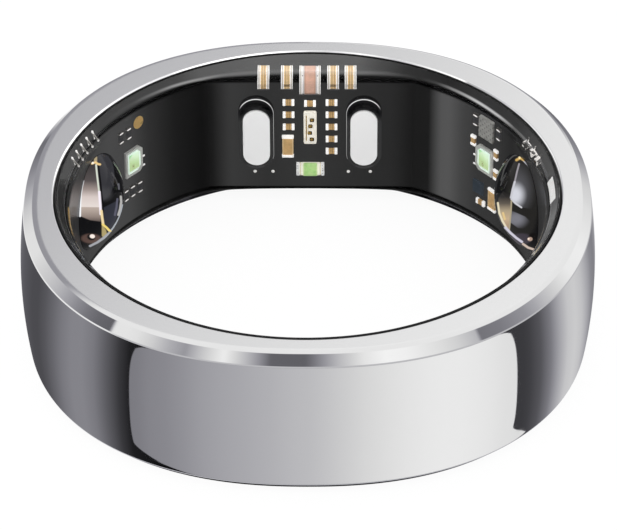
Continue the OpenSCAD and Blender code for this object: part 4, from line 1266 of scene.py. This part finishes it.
class RING_OT_small_parts(bpy.types.Operator):
    """Capacitors, resistors, chips, metal fittings and gold on the board"""
    bl_idname = "ring.small_parts"
    bl_label = "Small parts"

    def execute(self, context):
        self.two_ended()
        self.strip()
        self.fittings()
        return {"FINISHED"}

    def fittings(self):
        """The can, the clips, the prongs, the dots and what is plated on the board."""
        def folded(plan):
            # Painted reflections: bright and dark patches on the clip, that it also sends out as
            # glow
            patch = plan.noise(4200.0, 2.0, place_of(plan), 0.4)
            tone = plan.blend(plan.ease(patch, 0.44, 0.56), (0.04, 0.038, 0.036),
                              (0.9, 0.87, 0.83))
            return {"base": tone, "rough": plan.ease(patch, *GRAIN, 0.15, 0.35), "glow": tone}

        def bent(plan, grain):
            z = plan.parts(place_of(plan))[2]
            # A painted highlight band across the prongs near the upper rim, that they also send
            # out as glow
            bright = plan.ease(abs(z - 6.6 * MM), 0.09 * MM, 0.17 * MM)
            return plan.blend(bright, (0.24, 0.23, 0.21), (0.95, 0.93, 0.9))

        def dimpled(plan, grain):
            x, y, z = plan.parts(place_of(plan))
            board_radius, pitch = 10.4 * MM, 2 * math.pi / (0.27 * MM)
            along = x.of("ARCTAN2", y) * board_radius
            dots = (along * pitch).of("SINE") * (z * pitch).of("SINE")
            tone = plan.blend(plan.ease(grain, *GRAIN), (0.44, 0.44, 0.42), (0.58, 0.58, 0.55))
            return {"base": plan.blend(plan.ease(dots, 0.35, 0.8) * 0.6, tone,
                                       (0.12, 0.12, 0.12)),
                    "bump": bump_of(plan, dots, 0.006 * MM)}

        # The gold, the die, the foil, the dots, the clip, the prongs and the can glow a little as
        # painted light
        gold = material("board gold", mottled((0.78, 0.52, 0.2), 0.14, 2500.0, 0.3, 0.1,
                                              0.002 * MM), 0.3,
                        emission_color=(0.75, 0.48, 0.17, 1.0), emission_strength=0.15)
        blue = material("blue die", mottled((0.04, 0.05, 0.065), 0.25, 2500.0, 0.15, 0.06),
                        specular_ior_level=0.3, emission_color=(0.035, 0.047, 0.06, 1.0),
                        emission_strength=0.5)
        foil = material("bright foil", mottled((0.86, 0.85, 0.83), 0.12, 2500.0, 0.22, 0.1,
                                               0.004 * MM), 0.25,
                        emission_color=(0.9, 0.9, 0.88, 1.0), emission_strength=0.42)
        dot = material("solder dot", mottled((0.95, 0.94, 0.9), 0.06, 4000.0, 0.3, 0.1),
                       emission_strength=0.5, emission_color=(1.0, 0.98, 0.94, 1.0))
        clip = material("folded clip metal", folded, 0.25, emission_strength=0.45)
        prong = grained("bent prong metal", (0.15, 0.3), bent, 5000.0, metal=0.25,
                        emission_strength=0.5)
        can = grained("drawn can", (0.3, 0.5), dimpled, 5000.0, metal=0.2,
                      specular_ior_level=0.2, emission_strength=0.06,
                      emission_color=(0.9, 0.88, 0.82, 1.0))
        for node, made in (("test_pad", gold), ("antenna_trace", gold), ("radio_chip", can),
                           ("motion_chip", blue), ("connector_prongs", prong),
                           ("shield_clip", clip), ("ground_foil", foil), ("solder_dots", dot)):
            dress(node, made)

    def two_ended(self):
        """Bodies and ends of the two-ended parts."""
        tan = ceramic("tan ceramic", TAN, TAN_LINE, (-0.95, -0.25, 0.3, 0.95))
        plain = ceramic("large tan ceramic", TAN, (0.85, 0.7, 0.45), (-0.9, 0.9), 0, 0.08)
        tall = ceramic("upright tan ceramic", (0.7, 0.5, 0.27), (0.38, 0.24, 0.1),
                       (-0.4, 0.42), 0, 0.16)
        pink = ceramic("pink ceramic", (0.66, 0.4, 0.3), (0.45, 0.24, 0.17), (-0.68, 0.68), 0,
                       0.1, half=0.7)
        coat = ceramic("resistor coat", (0.03, 0.03, 0.032), (0.045, 0.045, 0.045),
                       (-0.5, 0.5), 2, 0.1, 1.0)
        tin, upright = tinned_ends("tin plating"), upright_ends()
        for name, body, made, ends in (
                ("small_capacitor", "small_capacitors", tan, tin),
                ("bulk_capacitor", "bulk_capacitors", plain, tin),
                ("rim_capacitor", "rim_capacitors", tall, upright),
                ("rim_coil", "rim_coil", pink, upright),
                ("resistor", "resistors", coat, ticked_ends())):
            blocks(name + "_bodies", body, made)
            blocks(name + "_end_set", name + "_ends", ends)

    def strip(self):
        """The pale strip and its contacts."""
        def glazed(plan, grain):
            return plan.blend(plan.ease(grain, *GRAIN), (0.86, 0.82, 0.72), (0.97, 0.94, 0.86))

        def ringed(plan, grain):
            x, _, z = plan.parts(local_of(plan))
            tone = plan.blend(plan.ease(grain, 0.35, 0.65), (0.5, 0.27, 0.04), (0.95, 0.66, 0.2))
            out = abs(x).of("MAXIMUM", abs(z))
            place = plan.parts(place_of(plan))[0]
            rail = plan.ease(abs(place + 0.15 * MM), 0.09 * MM, 0.07 * MM)
            ring = plan.ease(out, 0.45, 0.65) * (1 - rail)
            ticks = plan.ease((z * 38.0).of("SINE"), 0.0, 0.6) * rail
            return {"base": plan.blend(ring.of("MAXIMUM", ticks * 0.6), tone,
                                       (0.06, 0.035, 0.015))}

        # The ivory strip glows in its colour as painted light
        ivory = grained("ivory strip", (0.25, 0.4), glazed, 6000.0, emission_strength=0.5,
                        specular_ior_level=0.3)
        gilt = grained("gilt contact", (0.2, 0.35), ringed, 12000.0, metal=0.2)
        blocks("ivory_strip", "contact_strip", ivory, 17, 16.0)
        blocks("gilt_contacts", "strip_contacts", gilt, 9, 6.0)


class RING_OT_stage(bpy.types.Operator):
    """Pale floor, soft studio light and the camera"""
    bl_idname = "ring.stage"
    bl_label = "Stage"

    def execute(self, context):
        studio = context.scene.ring_studio
        self.floor()
        self.world(context, studio)
        self.lamp()
        self.camera(context, studio)
        context.scene.view_settings.view_transform = "Standard"
        return {"FINISHED"}

    def floor(self):
        reach = 1.2
        # The patch that the ring stands round looks darker in the mirror of its metal
        patch, patch_level = 10.6 * MM, 0.13
        mesh = mesh_from([(-reach, -reach, 0), (reach, -reach, 0), (reach, reach, 0),
                          (-reach, reach, 0)], [(0, 1, 2, 3)], "studio_floor", smooth=False)
        if mesh.polygons[0].normal.z < 0:
            mesh.flip_normals()
        floor = bpy.data.objects.new("studio_floor", mesh)
        bpy.context.scene.collection.objects.link(floor)
        made = bpy.data.materials.new("pale floor")
        made.use_nodes = True
        made.node_tree.nodes.clear()
        plan = Plan(made.node_tree)
        ray = plan.node("ShaderNodeLightPath")
        paper = plan.term("ShaderNodeBsdfDiffuse", None, {"Color": (0.92, 0.92, 0.92, 1.0)})
        white = plan.term("ShaderNodeEmission", None, {"Strength": 1.0})
        seen = plan.term("ShaderNodeMixShader", None,
                         {0: Term(plan, ray.outputs["Is Camera Ray"]) * 0.93, 1: paper, 2: white})
        clear = plan.term("ShaderNodeBsdfTransparent")
        dim = plan.term("ShaderNodeEmission", None, {"Strength": patch_level})
        x, y, _ = plan.parts(place_of(plan))
        inside = (x * x + y * y).of("SQRT") < patch
        mirrored = plan.term("ShaderNodeMixShader", None, {0: inside, 1: clear, 2: dim})
        mixed = plan.term("ShaderNodeMixShader", None,
                          {0: Term(plan, ray.outputs["Is Glossy Ray"]), 1: seen, 2: mirrored})
        plan.node("ShaderNodeOutputMaterial", None, {"Surface": mixed})
        mesh.materials.append(made)

    def metal_view(self, plan, way, studio):
        """How bright each direction looks in metal that is seen from the studio's front."""
        tilt, yaw = CAMERA_TILT, studio.yaw
        front = (-math.sin(yaw) * math.cos(tilt), math.cos(yaw) * math.cos(tilt),
                 -math.sin(tilt))
        facing = plan.vector("NORMALIZE", plan.vector("SUBTRACT", way, front))
        x, y, z = plan.parts(facing)
        # Where the surface faces: degrees round from the front, and degrees up
        turn = turn_of(x, -y)
        lean = z.of("MAXIMUM", -1.0).of("MINIMUM", 1.0).of("ARCSINE") * (180 / math.pi)

        # The bright panel on the wall, a rounded oblong whose left side slants at its foot
        slant = plan.ease(lean, -10.5, -7.2, 8.0, 0.0)
        across = abs((turn - slant - 5.3) / 38.3) ** 12.0
        along = abs((lean + 1.0) / 10.0) ** 4.4
        panel = plan.ease(across + along, 1.04, 0.96)
        wall = plan.blend(panel, plan.band(turn, WALL_DARK), plan.band(turn, WALL_PANEL))
        bevel = plan.blend(turn > 0.0, plan.band(turn, BEVEL_LEFT), plan.band(turn, BEVEL_RIGHT))
        dark = plan.ease(turn, -45.0, -62.0).of("MAXIMUM", plan.ease(turn, 98.0, 112.0)
                                                * plan.ease(lean, 76.0, 70.0))
        edge = 0.8 - 0.5 * dark
        rim = (0.71 + x * 3.3 - y * 5.7).of("MAXIMUM", 0.35).of("MINIMUM", 0.86)
        low = plan.ease(lean, -11.0, -13.0) * plan.ease(lean, -40.0, -36.0)
        wall = plan.blend(low, wall, (0.45, 0.45, 0.46))
        line = plan.grey(plan.ease(turn, -34.0, -42.0, 0.5, 0.85))
        # From the wall up: a thin line, the bevel, its upper edge and the rim
        view = plan.blend(plan.ease(lean, 8.9, 11.0), wall, line)
        view = plan.blend(plan.ease(lean, 30.0, 36.0), view, bevel)
        view = plan.blend(plan.ease(lean, 47.5, 51.0), view, plan.grey(edge))
        view = plan.blend(plan.ease(lean, 84.5, 86.5), view, plan.grey(rim))
        level = plan.vector("DOT_PRODUCT", view, (1 / 3, 1 / 3, 1 / 3), 1)
        cool = plan.ease(level, 0.75, 0.1)
        return plan.blend(cool, view, plan.vector("MULTIPLY", view, (0.985, 0.975, 1.09)))

    def world(self, context, studio):
        world = bpy.data.worlds.new("studio light")
        context.scene.world = world
        world.use_nodes = True
        world.node_tree.nodes.clear()
        plan = Plan(world.node_tree)
        way = Term(plan, plan.node("ShaderNodeTexCoord").outputs["Generated"])
        metal_view = self.metal_view(plan, way, studio)
        ray = plan.node("ShaderNodeLightPath")
        plain = plan.blend(Term(plan, ray.outputs["Is Camera Ray"]), (studio.level,) * 3,
                           (1.0,) * 3)
        mirrored = (Term(plan, ray.outputs["Is Glossy Ray"])
                    * (1 - Term(plan, ray.outputs["Is Transmission Ray"])))
        seen = plan.blend(mirrored, plain, metal_view)
        sky = plan.term("ShaderNodeBackground", None, {"Color": seen, "Strength": 1.0})
        plan.node("ShaderNodeOutputWorld", None, {"Surface": sky})

    def lamp(self):
        lamp = bpy.data.lights.new("soft top lamp", "AREA")
        lamp.shape = "DISK"
        lamp.size = 0.12
        lamp.energy = 0.02
        holder = bpy.data.objects.new("soft_top_lamp", lamp)
        holder.location = (-0.05, -0.04, 0.16)
        holder.rotation_euler = (Vector((0, 0, 0.003)) - holder.location).to_track_quat(
            "-Z", "Y").to_euler()
        holder.visible_glossy = False
        bpy.context.scene.collection.objects.link(holder)

    def camera(self, context, studio):
        camera = bpy.data.cameras.new("camera")
        camera.sensor_width = 36.0
        # The lens that the ring's ellipses ask for, in pixels of a view 617 pixels wide
        camera.lens = camera.sensor_width * 3971.95 / 617
        camera.clip_start = 0.01
        camera.clip_end = 10.0
        holder = bpy.data.objects.new("camera", camera)
        tilt = CAMERA_TILT
        right = Vector((1, 0, 0))
        up = Vector((0, math.sin(tilt), math.cos(tilt)))
        back = Vector((0, -math.cos(tilt), math.sin(tilt)))
        turn = Matrix.Rotation(studio.yaw, 3, "Z")
        roll = Matrix.Rotation(studio.roll, 3, back)
        axes = [turn @ (roll @ way) for way in (right, up, back)]
        pose = Matrix((axes[0], axes[1], axes[2])).transposed().to_4x4()
        pose.translation = turn @ Vector(studio.camera_place)
        holder.matrix_world = pose
        context.scene.collection.objects.link(holder)
        context.scene.camera = holder


OPERATORS = (RING_OT_shell, RING_OT_liner, RING_OT_core, RING_OT_pads, RING_OT_domes,
             RING_OT_emitters, RING_OT_small_parts, RING_OT_stage)
GROUPS = (RingSizes, RingColours, StudioSettings)


class RING_PT_panel(bpy.types.Panel):
    """Lists the operators that build the ring"""
    bl_idname = "RING_PT_panel"
    bl_label = "Smart ring"
    bl_space_type = "VIEW_3D"
    bl_region_type = "UI"
    bl_category = "Ring"

    def draw(self, context):
        for group in ("ring_sizes", "ring_colours", "ring_studio"):
            box = self.layout.box()
            held = getattr(context.scene, group)
            for name in held.__annotations__:
                box.prop(held, name)
        for operator in OPERATORS:
            self.layout.operator(operator.bl_idname)


def register():
    for made in (*GROUPS, *OPERATORS, RING_PT_panel):
        bpy.utils.register_class(made)
    bpy.types.Scene.ring_sizes = bpy.props.PointerProperty(type=RingSizes)
    bpy.types.Scene.ring_colours = bpy.props.PointerProperty(type=RingColours)
    bpy.types.Scene.ring_studio = bpy.props.PointerProperty(type=StudioSettings)


def unregister():
    for name in ("ring_sizes", "ring_colours", "ring_studio"):
        delattr(bpy.types.Scene, name)
    for made in (RING_PT_panel, *reversed(OPERATORS), *reversed(GROUPS)):
        bpy.utils.unregister_class(made)


def main():
    register()
    for operator in OPERATORS:
        family, name = operator.bl_idname.split(".")
        if getattr(getattr(bpy.ops, family), name)() != {"FINISHED"}:
            raise RuntimeError(operator.bl_label + " could not be built")


if __name__ == "__main__":
    main()
